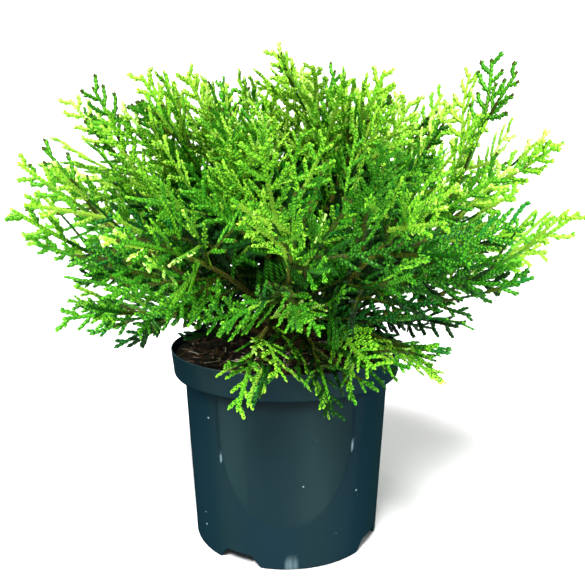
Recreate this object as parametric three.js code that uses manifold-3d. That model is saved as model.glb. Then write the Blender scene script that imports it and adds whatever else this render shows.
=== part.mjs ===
// A dwarf hiba cedar growing in a round three-litre nursery pot.
// Millimetres, +Z up. The origin is the centre of the pot's flat underside, and the front faces -Y.
// The shrub has a short stem, and leaders that rise and arch out of it on all sides. Each leader is
// a bare bough near the stem and then a mass of foliage: a twig that carries flat, toothed sprays.

import * as THREE from 'three';
import { mergeVertices } from 'three/addons/utils/BufferGeometryUtils.js';
import Module from 'manifold-3d';

const wasm = await Module();
wasm.setup();

// Sizes of the pot
const POT_HEIGHT = 160;
const POT_SEGMENTS = 32;
const RIM_RADIUS = 95;
const RIM_LIP = 1.2;
const BAND_HEIGHT = 20;
const BAND_TAPER = 2.2;
const BAND_CORNER = 3;
const BODY_TOP = 138;
const BODY_TOP_RADIUS = 84.3;
const BODY_BASE_RADIUS = 76.9;
const FOOT_CORNER = 1.5;
const FOOT_THICKNESS = 3;
const WALL = 1.5;
const FLOOR_UNDERSIDE = 10;
const PAD_RADIUS = 18;
const PAD_SLOPE = 2;
const NOTCH_COUNT = 4;
const NOTCH_FIRST_ANGLE = -118.5;
const NOTCH_HEIGHT = 9.2;
const NOTCH_TOP_WIDTH = 24;
const NOTCH_FOOT_WIDTH = 36;
const NOTCH_DEPTH = 24;
const DRAIN_COUNT = 6;
const DRAIN_RADIUS = 5;
const DRAIN_CIRCLE = 48;
const DRAIN_SIDES = 10;

// Sizes of the soil, which fills the pot to just below the rim
const SOIL_TOP = 158;
const SOIL_SHOULDER_RADIUS = 60;
const SOIL_SHOULDER = 157.2;
const SOIL_EDGE = 154.8;
const GAP = 0.3;

// Sizes of the stem: [radius, height] from the flat cut under its root flare up to its fork
const STEM_PROFILE = [[15, 0], [12, 2], [10.8, 6], [10, 12], [9.4, 19], [7.5, 24], [4.5, 27]];
const STEM_FLARE_RADIUS = STEM_PROFILE[0][0];
const STEM_HEIGHT = STEM_PROFILE.at(-1)[1];
const STEM_LEAN = 1.5;
const STEM_SIDES = 14;
const ROOT_COUNT = 7;
const ROOT_BULGE = 0.1;
const SOIL_PATCH_RADIUS = STEM_FLARE_RADIUS + 5;

// Leaders of each tier as [azimuth in degrees anticlockwise from +X, reach from the axis, rise above
// the soil]. A negative reach ends past the axis, on the far side of where the leader sets out. Two
// more numbers, where they are given, are the slope that it sets out at and its share of bend.
const TIERS = [
  {
    name: 'top',
    seat: 24,
    seatRadius: 6.2,
    lift: 4,
    bend: 0.45,
    turn: 28,
    leaders: [[5, -12, 237, 50, 0.6], [60, 90, 216], [115, 90, 208], [164, 84, 224],
      [190, 112, 216], [243, 100, 184], [330, 84, 216]],
  },
  {
    name: 'side',
    seat: 16,
    seatRadius: 9.2,
    lift: -4,
    bend: 0.45,
    turn: 24,
    leaders: [[3, 217, 168], [28, 158, 212], [72, 178, 150], [124, 184, 150], [174, 178, 202],
      [195, 202, 150], [240, 192, 104, 46], [272, 190, 132], [300, 186, 138],
      [354, 157, 228, 30, 0.68]],
  },
  {
    name: 'low',
    seat: 7.5,
    seatRadius: 10.4,
    lift: 16,
    bend: 0.5,
    turn: 24,
    leaders: [[12, 238, 72], [48, 205, 66], [88, 198, 48], [130, 208, 60], [163, 206, 66],
      [180, 224, 114, 22], [205, 178, 38], [256, 130, -14, 50], [284, 134, -16, 50],
      [317, 150, -3, 36], [348, 224, 114, 12]],
  },
];
const STEEPEST_START = 82;

// Outline of the crown that side sprays keep to: its height above the soil, the least reach that it
// allows them, and its underside, which hangs just over the rim and rises outwards from there
const CROWN_HEIGHT = 220;
const CROWN_LEAST_REACH = 150;
const UNDERSIDE_HANG = 20;
const UNDERSIDE_START = 125;
const UNDERSIDE_SLOPE = 0.8;

// Sizes of the boughs, which are the bare first stretch of each leader
const BOUGH_SHARE = 0.24;
const BOUGH_BASE_RADIUS = 2.3;
const BOUGH_TIP_RADIUS = 1.7;
const BOUGH_SIDES = 6;
const BOUGH_STEP = 18;

// Sizes of the twig and the sprays of each mass of foliage
const TWIG_TIP_RADIUS = 1.1;
const TWIG_SIDES = 3;
const TWIG_STEP = 26;
const SPRAY_SPACING = 22;
const SPRAY_LENGTH = 104;
const SPRAY_THICKNESS = 1.6;
const SPRAY_RIB = 1.9;
const SPRAY_JITTER = 12;
const SPRAY_TAPER = 0.3;
const LONG_SPRAY = 60;
const SPRAY_ANGLE_LOW = 62;
const SPRAY_ANGLE_HIGH = 40;
const SPRAY_DROOP = 0.16;
const SPRAY_FORWARD = 0.45;
const TOOTH_SHARE = 0.42;
const TOOTH_ANGLE = 50;
const TOOTH_TAPER = 0.5;
const TIP_SPRAY_LENGTH = 58;
const TIP_TOOTH_SHARE = 0.32;
const SPACE_MARGIN = 1.6;
const POT_CLEARANCE = 3;
const STEM_CLEARANCE = 4;
const SPRAY_SCALES = [1, 0.88, 0.76, 0.66, 0.56, 0.46];
const TOOTH_SCALES = [1, 0.8, 0.6, 0.45, 0.3];

const UP = new THREE.Vector3(0, 0, 1);
const radians = THREE.MathUtils.degToRad;

/** A repeatable source of numbers from 0 to 1. */
function randomSource(seed) {
  let state = seed >>> 0;
  return () => {
    state = (Math.imul(state, 1664525) + 1013904223) >>> 0;
    return state / 4294967296;
  };
}

/** The geometry with its shared vertices merged and no collapsed triangles. */
function welded(geometry) {
  const bare = geometry.clone();
  bare.deleteAttribute('normal');
  bare.deleteAttribute('uv');
  const merged = mergeVertices(bare);
  const index = merged.index.array;
  const kept = [];
  for (let k = 0; k < index.length; k += 3) {
    const [a, b, c] = [index[k], index[k + 1], index[k + 2]];
    if (a !== b && b !== c && c !== a) kept.push(a, b, c);
  }
  merged.setIndex(kept);
  return merged;
}

/** A solid for joining and cutting, from a closed geometry. */
function toSolid(geometry) {
  const mesh = welded(geometry);
  const vertProperties = new Float32Array(mesh.attributes.position.array);
  const triVerts = new Uint32Array(mesh.index.array);
  return new wasm.Manifold(new wasm.Mesh({ numProp: 3, vertProperties, triVerts }));
}

/** The geometry of a joined or cut solid. */
function toGeometry(solid) {
  const mesh = solid.getMesh();
  const geometry = new THREE.BufferGeometry();
  geometry.setAttribute('position', new THREE.BufferAttribute(mesh.vertProperties, 3));
  geometry.setIndex(new THREE.BufferAttribute(mesh.triVerts, 1));
  return geometry;
}

/** A geometry from points and triangles. */
function fromTriangles(points, triangles) {
  const geometry = new THREE.BufferGeometry();
  geometry.setFromPoints(points);
  geometry.setIndex(triangles);
  return geometry;
}

/** A turned body about +Z, from [radius, height] pairs that start and end on the axis. */
function turned(profile, segments) {
  const points = profile.map(([radius, height]) => new THREE.Vector2(radius, height));
  return welded(new THREE.LatheGeometry(points, segments).rotateX(Math.PI / 2));
}

/** A body through rings of points, closed with a fan at each end. */
function lofted(rings) {
  const sides = rings[0].length;
  const triangles = [];
  for (let r = 0; r + 1 < rings.length; r += 1) {
    for (let s = 0; s < sides; s += 1) {
      const a = r * sides + s;
      const b = r * sides + (s + 1) % sides;
      triangles.push(a, b, b + sides, a, b + sides, a + sides);
    }
  }
  const last = (rings.length - 1) * sides;
  for (let s = 1; s + 1 < sides; s += 1) {
    triangles.push(0, s + 1, s);
    triangles.push(last, last + s, last + s + 1);
  }
  return fromTriangles(rings.flat(), triangles);
}

/** The pot's body radius at a height. */
function bodyRadius(z) {
  return THREE.MathUtils.mapLinear(z, 0, BODY_TOP, BODY_BASE_RADIUS, BODY_TOP_RADIUS);
}

/** The inside of the pot, moved inwards by an inset, from the axis of its floor up to its lip. */
function insideProfile(inset) {
  const floor = FLOOR_UNDERSIDE + WALL + inset;
  const bandFoot = POT_HEIGHT - BAND_HEIGHT;
  const bandRadius = RIM_RADIUS - BAND_TAPER - WALL - inset;
  return [
    [0, WALL + inset],
    [PAD_RADIUS - PAD_SLOPE - inset, WALL + inset],
    [PAD_RADIUS - inset, floor],
    [bodyRadius(floor) - WALL - inset, floor],
    [BODY_TOP_RADIUS - WALL - inset, bandFoot + inset],
    [bandRadius - BAND_CORNER, bandFoot + inset],
    [bandRadius, bandFoot + BAND_CORNER + inset],
  ];
}

/** The pot: a tapered bucket with a band under its lip, a notched foot and a drained floor. */
function potGeometry() {
  const bandFoot = POT_HEIGHT - BAND_HEIGHT - WALL;
  const footInside = BODY_BASE_RADIUS - FOOT_THICKNESS;
  const outside = [
    [0, 0],
    [PAD_RADIUS, 0],
    [PAD_RADIUS + PAD_SLOPE, FLOOR_UNDERSIDE],
    [footInside, FLOOR_UNDERSIDE],
    [footInside, 0],
    [BODY_BASE_RADIUS - FOOT_CORNER, 0],
    [bodyRadius(FOOT_CORNER), FOOT_CORNER],
    [BODY_TOP_RADIUS, BODY_TOP],
    [RIM_RADIUS - BAND_TAPER - BAND_CORNER, bandFoot],
    [RIM_RADIUS - BAND_TAPER, bandFoot + BAND_CORNER],
    [RIM_RADIUS, POT_HEIGHT - RIM_LIP],
    [RIM_RADIUS - RIM_LIP / 2, POT_HEIGHT],
    [RIM_RADIUS - WALL, POT_HEIGHT],
  ];
  let pot = toSolid(turned([...outside, ...insideProfile(0).reverse()], POT_SEGMENTS));
  for (let k = 0; k < NOTCH_COUNT; k += 1) {
    pot = pot.subtract(toSolid(notchGeometry(NOTCH_FIRST_ANGLE + 360 * k / NOTCH_COUNT)));
  }
  for (let k = 0; k < DRAIN_COUNT; k += 1) {
    pot = pot.subtract(toSolid(drainGeometry(360 * k / DRAIN_COUNT)));
  }
  return toGeometry(pot);
}

/** What one notch with slanted ends takes out of the pot's foot. */
function notchGeometry(angle) {
  const overrun = 1;
  const slope = (NOTCH_FOOT_WIDTH - NOTCH_TOP_WIDTH) / 2 / NOTCH_HEIGHT;
  const halfFoot = NOTCH_FOOT_WIDTH / 2 + overrun * slope;
  const outline = new THREE.Shape([
    new THREE.Vector2(-halfFoot, -overrun),
    new THREE.Vector2(halfFoot, -overrun),
    new THREE.Vector2(NOTCH_TOP_WIDTH / 2, NOTCH_HEIGHT),
    new THREE.Vector2(-NOTCH_TOP_WIDTH / 2, NOTCH_HEIGHT),
  ]);
  const cutter = new THREE.ExtrudeGeometry(outline, { depth: NOTCH_DEPTH, bevelEnabled: false });
  cutter.rotateX(Math.PI / 2).rotateZ(Math.PI / 2);
  cutter.translate(BODY_BASE_RADIUS - NOTCH_DEPTH / 2, 0, 0);
  return cutter.rotateZ(radians(angle));
}

/** What one drainage hole takes out of the floor. */
function drainGeometry(angle) {
  const cutter = new THREE.CylinderGeometry(DRAIN_RADIUS, DRAIN_RADIUS, 4 * WALL, DRAIN_SIDES);
  cutter.rotateX(Math.PI / 2);
  cutter.translate(DRAIN_CIRCLE, 0, FLOOR_UNDERSIDE + WALL / 2);
  return cutter.rotateZ(radians(angle));
}

/** The soil: it fills the pot, and its top mounds up to a flat patch under the stem. */
function soilGeometry() {
  const edge = insideProfile(GAP).at(-1)[0];
  const top = [
    [edge, SOIL_EDGE],
    [SOIL_SHOULDER_RADIUS, SOIL_SHOULDER],
    [SOIL_PATCH_RADIUS, SOIL_TOP],
    [0, SOIL_TOP],
  ];
  return turned([...insideProfile(GAP), ...top], POT_SEGMENTS);
}

/** The stem: a root flare from a flat cut on the soil, up to the domed fork, leaning a little. */
function stemGeometry(inflate) {
  const rings = STEM_PROFILE.map(([radius, height]) => {
    const ring = [];
    const lean = STEM_LEAN * height / STEM_HEIGHT;
    const raise = height === STEM_HEIGHT ? inflate : 0;
    for (let s = 0; s < STEM_SIDES; s += 1) {
      const angle = 2 * Math.PI * s / STEM_SIDES;
      const bulge = height === 0 ? ROOT_BULGE * Math.sin(ROOT_COUNT * angle / 2) ** 2 : 0;
      const reach = radius * (1 + bulge) + inflate;
      const z = SOIL_TOP + GAP + height + raise;
      ring.push(new THREE.Vector3(reach * Math.cos(angle) + lean, reach * Math.sin(angle), z));
    }
    return ring;
  });
  return lofted(rings);
}

/** One leader: its curve out of the stem, and how far a point is from it. */
class Leader {
  constructor(tier, number, seatAngle, [azimuth, reach, rise, setOut, bend = tier.bend]) {
    this.name = `${tier.name}_${number}`;
    this.turn = tier.turn;
    this.reach = Math.abs(reach);
    this.random = randomSource(1000 * TIERS.indexOf(tier) + 37 * number + 5);
    const heading = new THREE.Vector3(Math.cos(radians(azimuth)), Math.sin(radians(azimuth)), 0);
    const start = new THREE.Vector3(
      tier.seatRadius * Math.cos(radians(seatAngle)),
      tier.seatRadius * Math.sin(radians(seatAngle)),
      SOIL_TOP + tier.seat,
    );
    const tip = heading.clone().multiplyScalar(reach).setZ(SOIL_TOP + rise);
    const chord = tip.clone().sub(start);
    const slope = THREE.MathUtils.radToDeg(Math.atan2(chord.z, chord.dot(heading)));
    const pitch = radians(setOut ?? Math.min(slope + tier.lift, STEEPEST_START));
    const first = heading.clone().multiplyScalar(Math.cos(pitch)).addScaledVector(UP, Math.sin(pitch));
    const middle = start.clone().addScaledVector(first, bend * chord.length());
    this.curve = new THREE.QuadraticBezierCurve3(start, middle, tip);
    this.length = this.curve.getLength();
    this.side = new THREE.Vector3().crossVectors(UP, heading);
    this.points = this.curve.getSpacedPoints(24);
    this.firstTurn = radians(60 * this.random() - 30);
  }

  /** Place, direction, side and upper vectors at a distance along the leader. */
  frameAt(distance) {
    const u = THREE.MathUtils.clamp(distance / this.length, 0, 1);
    const direction = this.curve.getTangentAt(u);
    const side = this.side.clone().addScaledVector(direction, -direction.dot(this.side)).normalize();
    const upper = new THREE.Vector3().crossVectors(direction, side);
    return { place: this.curve.getPointAt(u), direction, side, upper };
  }

  /** The distance from a point to the leader's line. */
  distanceTo(point) {
    const nearest = new THREE.Vector3();
    let least = Infinity;
    for (let k = 0; k + 1 < this.points.length; k += 1) {
      new THREE.Line3(this.points[k], this.points[k + 1]).closestPointToPoint(point, true, nearest);
      least = Math.min(least, nearest.distanceTo(point));
    }
    return least;
  }
}

/** All leaders, with each tier's seats spread evenly round the stem in the order of azimuth. */
function makeLeaders() {
  return TIERS.flatMap((tier) => {
    const step = 360 / tier.leaders.length;
    const drift = tier.leaders.reduce((sum, [azimuth], k) => sum + azimuth - k * step, 0);
    const first = drift / tier.leaders.length;
    return tier.leaders.map((sizes, k) => new Leader(tier, k + 1, first + k * step, sizes));
  });
}

const leaders = makeLeaders();

/** A tapering limb along part of a leader. */
function limbGeometry(leader, from, to, fromRadius, toRadius, sides, longestStep) {
  const steps = Math.max(2, Math.ceil((to - from) / longestStep));
  const rings = [];
  for (let k = 0; k <= steps; k += 1) {
    const { place, side, upper } = leader.frameAt(THREE.MathUtils.lerp(from, to, k / steps));
    const radius = THREE.MathUtils.lerp(fromRadius, toRadius, k / steps);
    const ring = [];
    for (let s = 0; s < sides; s += 1) {
      const angle = 2 * Math.PI * s / sides;
      ring.push(place.clone()
        .addScaledVector(side, radius * Math.cos(angle))
        .addScaledVector(upper, radius * Math.sin(angle)));
    }
    rings.push(ring);
  }
  return lofted(rings);
}

/** The bare bough of a leader, its foot cut to seat on the stem. */
function boughGeometry(leader, seatCutter) {
  const end = BOUGH_SHARE * leader.length;
  const bough = limbGeometry(leader, 0, end, BOUGH_BASE_RADIUS, BOUGH_TIP_RADIUS, BOUGH_SIDES, BOUGH_STEP);
  return toGeometry(toSolid(bough).subtract(seatCutter));
}

/** Whether a point keeps to the crown and to a leader's own space, clear of pot, stem and others. */
function keepsToSpace(point, leader) {
  const reach = Math.hypot(point.x, point.y);
  if (reach < RIM_RADIUS + POT_CLEARANCE && point.z < POT_HEIGHT + POT_CLEARANCE) return false;
  if (reach < STEM_FLARE_RADIUS + STEM_CLEARANCE && point.z < SOIL_TOP + STEM_HEIGHT) return false;
  if (reach > Math.max(leader.reach, CROWN_LEAST_REACH) || point.z > SOIL_TOP + CROWN_HEIGHT) return false;
  const underside = SOIL_TOP - UNDERSIDE_HANG + UNDERSIDE_SLOPE * Math.max(0, reach - UNDERSIDE_START);
  if (point.z < underside) return false;
  const own = leader.distanceTo(point) + 2 * SPACE_MARGIN;
  return leaders.every((other) => other === leader || other.distanceTo(point) > own);
}

/** The rib of a side spray: it leaves the twig along a direction, then bends forward and droops. */
function sideRib(root, direction, forward, length) {
  const turned = direction.clone().addScaledVector(forward, SPRAY_FORWARD);
  const end = root.clone().addScaledVector(turned.addScaledVector(UP, -SPRAY_DROOP).normalize(), length);
  const middle = root.clone().addScaledVector(direction, length / 2);
  const rib = new THREE.QuadraticBezierCurve3(root, middle, end);
  return (t) => station(rib.getPoint(t), rib.getTangent(t), forward);
}

/** The rib of the spray that ends a leader, which is the leader's own last stretch. */
function tipRib(leader, start, length, flat) {
  return (t) => {
    const { place, direction } = leader.frameAt(start + t * length);
    return station(place, direction, flat);
  };
}

/** A place on a rib, with its directions along and across the blade and square to it. */
function station(place, along, towards) {
  const across = towards.clone().addScaledVector(along, -along.dot(towards)).normalize();
  return { place, along, across, normal: along.clone().cross(across) };
}

/** The points on both sides of a rib. */
function ribPair({ place, across, normal }) {
  return [1, -1].map((sign) => ({
    place: place.clone().addScaledVector(across, sign * SPRAY_RIB),
    normal,
  }));
}

/** The tip of one tooth, as long as the leader's space lets it be. */
function toothTip({ place, along, across, normal }, sign, reach, leader) {
  const slant = along.clone().multiplyScalar(Math.cos(radians(TOOTH_ANGLE)))
    .addScaledVector(across, sign * Math.sin(radians(TOOTH_ANGLE)));
  const tips = TOOTH_SCALES.map((scale) => place.clone().addScaledVector(slant, scale * reach));
  return { place: tips.find((tip) => keepsToSpace(tip, leader)) ?? tips.at(-1), normal };
}

/**
 * The points of a flat spray, a thin blade with pairs of pointed teeth swept forward along its rib:
 * the root pair, then two tips and two rib points for each pair of teeth, and the end.
 */
function sprayLayer(rib, toothLength, pairs, leader) {
  const stretches = pairs + TOOTH_TAPER;
  const layer = ribPair(rib(0));
  for (let k = 0; k < pairs; k += 1) {
    const middle = rib((k + 0.5) / stretches);
    const reach = toothLength * (1 - TOOTH_TAPER * k / pairs);
    layer.push(toothTip(middle, 1, reach, leader), toothTip(middle, -1, reach, leader));
    layer.push(...ribPair(rib((k + 1) / stretches)));
  }
  layer.push(rib(1));
  return layer;
}

/** The closed geometry of a spray from its layer of points. */
function sprayGeometry(layer, pairs) {
  const half = SPRAY_THICKNESS / 2;
  const upper = layer.map(({ place, normal }) => place.clone().addScaledVector(normal, half));
  const lower = layer.map(({ place, normal }) => place.clone().addScaledVector(normal, -half));
  const count = layer.length;
  const faces = [];
  const outline = [0];
  const returning = [1];
  let rib = [0, 1];
  for (let k = 0; k < pairs; k += 1) {
    const [tipLeft, tipRight, left, right] = [2, 3, 4, 5].map((step) => step + 4 * k);
    faces.push([rib[0], rib[1], right], [rib[0], right, left]);
    faces.push([rib[0], left, tipLeft], [rib[1], tipRight, right]);
    outline.push(tipLeft, left);
    returning.push(tipRight, right);
    rib = [left, right];
  }
  faces.push([rib[0], rib[1], count - 1]);
  const loop = [...outline, count - 1, ...returning.reverse()];
  const triangles = faces.flatMap(([a, b, c]) => [a, b, c, a + count, c + count, b + count]);
  loop.forEach((a, k) => {
    const b = loop[(k + 1) % loop.length];
    triangles.push(a, b, b + count, a, b + count, a + count);
  });
  return fromTriangles([...upper, ...lower], triangles);
}

/** The sprays along a twig that keep to the leader's space, each as long as it can be. */
function sideSprays(leader, start, end) {
  const { random } = leader;
  const count = Math.round((end - start) / SPRAY_SPACING);
  const sprays = [];
  for (let k = 0; k < count; k += 1) {
    const share = (k + 0.35) / count;
    const turn = leader.firstTurn + radians((180 + leader.turn) * k + SPRAY_JITTER * (2 * random() - 1));
    const angle = radians(THREE.MathUtils.lerp(SPRAY_ANGLE_LOW, SPRAY_ANGLE_HIGH, share));
    const distance = THREE.MathUtils.lerp(start, end, share);
    const freeLength = SPRAY_LENGTH * (0.88 + 0.24 * random()) * (1 - SPRAY_TAPER * share);
    const fullLength = Math.min(freeLength, leader.length - distance);
    const { place, direction, side, upper } = leader.frameAt(distance);
    const heading = direction.clone().multiplyScalar(Math.cos(angle))
      .addScaledVector(side, Math.sin(angle) * Math.cos(turn))
      .addScaledVector(upper, Math.sin(angle) * Math.sin(turn));
    for (const scale of SPRAY_SCALES) {
      const length = scale * fullLength;
      const pairs = length > LONG_SPRAY ? 3 : 2;
      const rib = sideRib(place, heading, direction, length);
      const layer = sprayLayer(rib, TOOTH_SHARE * length, pairs, leader);
      if (layer.slice(2).every((point) => keepsToSpace(point.place, leader))) {
        sprays.push(sprayGeometry(layer, pairs));
        break;
      }
    }
  }
  return sprays;
}

/** The spray that ends a leader. */
function tipSpray(leader, start) {
  const { side, upper } = leader.frameAt(start);
  const flat = side.clone().multiplyScalar(Math.cos(leader.firstTurn))
    .addScaledVector(upper, Math.sin(leader.firstTurn));
  const length = leader.length - start;
  const rib = tipRib(leader, start, length, flat);
  return sprayGeometry(sprayLayer(rib, TIP_TOOTH_SHARE * length, 3, leader), 3);
}

/** The mass of foliage of a leader: its twig, fused with the sprays it carries. */
function foliageGeometry(leader) {
  const start = BOUGH_SHARE * leader.length + GAP;
  const end = leader.length - TIP_SPRAY_LENGTH;
  const twig = limbGeometry(leader, start, end, BOUGH_TIP_RADIUS, TWIG_TIP_RADIUS, TWIG_SIDES, TWIG_STEP);
  const sprays = [...sideSprays(leader, start, end), tipSpray(leader, end - 2 * TWIG_TIP_RADIUS)];
  return toGeometry(sprays.reduce((whole, spray) => whole.add(toSolid(spray)), toSolid(twig)));
}

const potPlastic = new THREE.MeshStandardMaterial({ color: 0x213b46, roughness: 0.45, metalness: 0 });
const soilMix = new THREE.MeshStandardMaterial({ color: 0x241c14, roughness: 1, metalness: 0 });
const bark = new THREE.MeshStandardMaterial({ color: 0x6a5a34, roughness: 0.85, metalness: 0 });
const greens = [0x4f9a2a, 0x3f8a26, 0x2f6f24].map(
  (color) => new THREE.MeshStandardMaterial({ color, roughness: 0.6, metalness: 0 }),
);

const group = new THREE.Group();

/** Adds one named sub-part. */
function addPart(name, geometry, material) {
  const mesh = new THREE.Mesh(geometry, material);
  mesh.name = name;
  group.add(mesh);
}

addPart('pot', potGeometry(), potPlastic);
addPart('soil', soilGeometry(), soilMix);
addPart('stem', stemGeometry(0), bark);
const seatCutter = toSolid(stemGeometry(GAP));
for (const leader of leaders) {
  const tier = TIERS.findIndex((each) => leader.name.startsWith(each.name));
  addPart(`bough_${leader.name}`, boughGeometry(leader, seatCutter), bark);
  addPart(`foliage_${leader.name}`, foliageGeometry(leader), greens[tier]);
}

export default group;
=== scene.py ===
"""A dwarf hiba cedar in a round three-litre nursery pot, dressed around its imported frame.

Sizes in the classes are millimetres and become metres where a mesh is made. The shrub grows by the
same rule as the frame's solids: leaders rise out of a short stem, and each carries side sprays.
Here each spray is carried on to pinnae and pinnules, which are cords of overlapping scale leaves.
"""

import logging
import math
from dataclasses import dataclass
from enum import IntEnum

import bpy
import numpy as np
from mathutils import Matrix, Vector

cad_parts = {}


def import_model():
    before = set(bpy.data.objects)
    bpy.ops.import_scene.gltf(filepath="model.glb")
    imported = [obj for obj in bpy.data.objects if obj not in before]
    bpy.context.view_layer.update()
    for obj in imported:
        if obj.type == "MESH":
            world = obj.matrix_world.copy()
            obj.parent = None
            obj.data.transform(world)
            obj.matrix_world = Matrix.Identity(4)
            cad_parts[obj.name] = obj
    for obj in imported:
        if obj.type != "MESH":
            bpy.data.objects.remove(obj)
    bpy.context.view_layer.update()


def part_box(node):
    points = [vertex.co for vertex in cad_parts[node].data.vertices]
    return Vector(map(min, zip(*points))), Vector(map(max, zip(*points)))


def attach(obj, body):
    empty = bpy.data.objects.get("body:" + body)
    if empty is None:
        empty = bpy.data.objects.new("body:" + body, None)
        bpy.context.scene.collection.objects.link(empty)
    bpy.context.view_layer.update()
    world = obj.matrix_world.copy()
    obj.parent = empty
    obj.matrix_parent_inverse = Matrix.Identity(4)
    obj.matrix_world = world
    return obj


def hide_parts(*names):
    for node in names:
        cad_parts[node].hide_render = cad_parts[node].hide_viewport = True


logging.basicConfig(level=logging.INFO, format="%(message)s")
LOG = logging.getLogger("potted_hiba")

MM = 0.001
BODY = "root"
UP = np.array([0.0, 0.0, 1.0])
MOST_TRIANGLES = 190_000
GOLDEN_TURN = 137.5
BOUGH_SHARE = 0.24
LITTER_SEED = 77
WHITE = (1.0, 1.0, 1.0, 1.0)
TINY = 1e-6

Array = np.ndarray
Pair = tuple[float, float]
Row = tuple[float, ...]
Screen = tuple[int, int, int]
Colour = tuple[float, float, float, float]
Triple = tuple[float, float, float]
Frames = tuple[Array, Array, Array, Array]
Socket = bpy.types.NodeSocket
Material = bpy.types.Material


class Dice:
    """A repeatable source of numbers, the same as the frame's own."""

    def __init__(self, seed: int) -> None:
        """Starts the source at a seed."""
        self.state = seed & 0xFFFFFFFF

    def draw(self) -> float:
        """The next number from 0 to 1."""
        self.state = (self.state * 1664525 + 1013904223) & 0xFFFFFFFF
        return self.state / 4294967296

    def between(self, low: float, high: float) -> float:
        """The next number from low to high."""
        return low + (high - low) * self.draw()


def unit(vector: Array) -> Array:
    """The vector at length one, or each row of an array of vectors."""
    return vector / np.linalg.norm(vector, axis=-1, keepdims=True)


def linear(red: int, green: int, blue: int) -> Colour:
    """A screen colour from 0 to 255 as the linear colour that a shader takes.

    Args:
        red: Its red.
        green: Its green.
        blue: Its blue.

    Returns:
        Its linear red, green and blue, and full cover.
    """
    limit, slope, offset, power = 0.04045, 12.92, 0.055, 2.4
    shares = [channel / 255 for channel in (red, green, blue)]
    made = [s / slope if s <= limit else ((s + offset) / (1 + offset)) ** power for s in shares]
    return (made[0], made[1], made[2], 1.0)


def put(name: str, data: bpy.types.ID) -> bpy.types.Object:
    """Puts a new object in the scene.

    Args:
        name: Its name.
        data: Its mesh, camera or lamp.

    Returns:
        The object.
    """
    made = bpy.data.objects.new(name, data)
    bpy.context.scene.collection.objects.link(made)
    return made


class MeshBin:
    """Points, triangles and material numbers that are gathered for one piece."""

    def __init__(self) -> None:
        """Starts an empty bin."""
        self.points: list[Array] = []
        self.triangles: list[Array] = []
        self.tones: list[Array] = []
        self.count = 0
        self.faces = 0

    def add(self, points: Array, triangles: Array, tones: Array | int) -> None:
        """Adds one closed body.

        Args:
            points: Its points in millimetres, a row each.
            triangles: Rows of three point numbers, counted from its own first point.
            tones: The material number of each triangle, or one for all.
        """
        self.points.append(points)
        self.triangles.append(triangles + self.count)
        self.tones.append(np.full(len(triangles), tones) if np.isscalar(tones) else tones)
        self.count += len(points)
        self.faces += len(triangles)

    def take(self, other: "MeshBin") -> None:
        """Adds all bodies of another bin.

        Args:
            other: The other bin.
        """
        self.points += other.points
        self.triangles += [triangles + self.count for triangles in other.triangles]
        self.tones += other.tones
        self.count += other.count
        self.faces += other.faces

    def to_object(self, name: str, materials: list[Material], smooth: bool) -> bpy.types.Object:
        """Makes the gathered bodies one mesh object.

        Args:
            name: The piece's name.
            materials: The materials that the tones number.
            smooth: Whether the faces are shaded smooth.

        Returns:
            The new object, in metres.
        """
        points = (np.concatenate(self.points) * MM).astype(np.float32)
        triangles = np.concatenate(self.triangles).astype(np.int32)
        tones = np.concatenate(self.tones).astype(np.int32)
        mesh = bpy.data.meshes.new(name)
        mesh.vertices.add(len(points))
        mesh.vertices.foreach_set("co", points.ravel())
        mesh.loops.add(triangles.size)
        mesh.loops.foreach_set("vertex_index", triangles.ravel())
        mesh.polygons.add(len(triangles))
        mesh.polygons.foreach_set("loop_start", np.arange(0, triangles.size, 3, dtype=np.int32))
        mesh.polygons.foreach_set("material_index", tones)
        mesh.polygons.foreach_set("use_smooth", np.full(len(triangles), smooth))
        for material in materials:
            mesh.materials.append(material)
        mesh.update(calc_edges=True)
        LOG.info("%s: %d triangles", name, len(triangles))
        return put(name, mesh)


@dataclass(frozen=True)
class Grain:
    """A noise pattern: its scale per metre, how many finer layers it has, and its stretch."""

    scale: float
    detail: float = 2
    stretch: Triple = (1, 1, 1)


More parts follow.
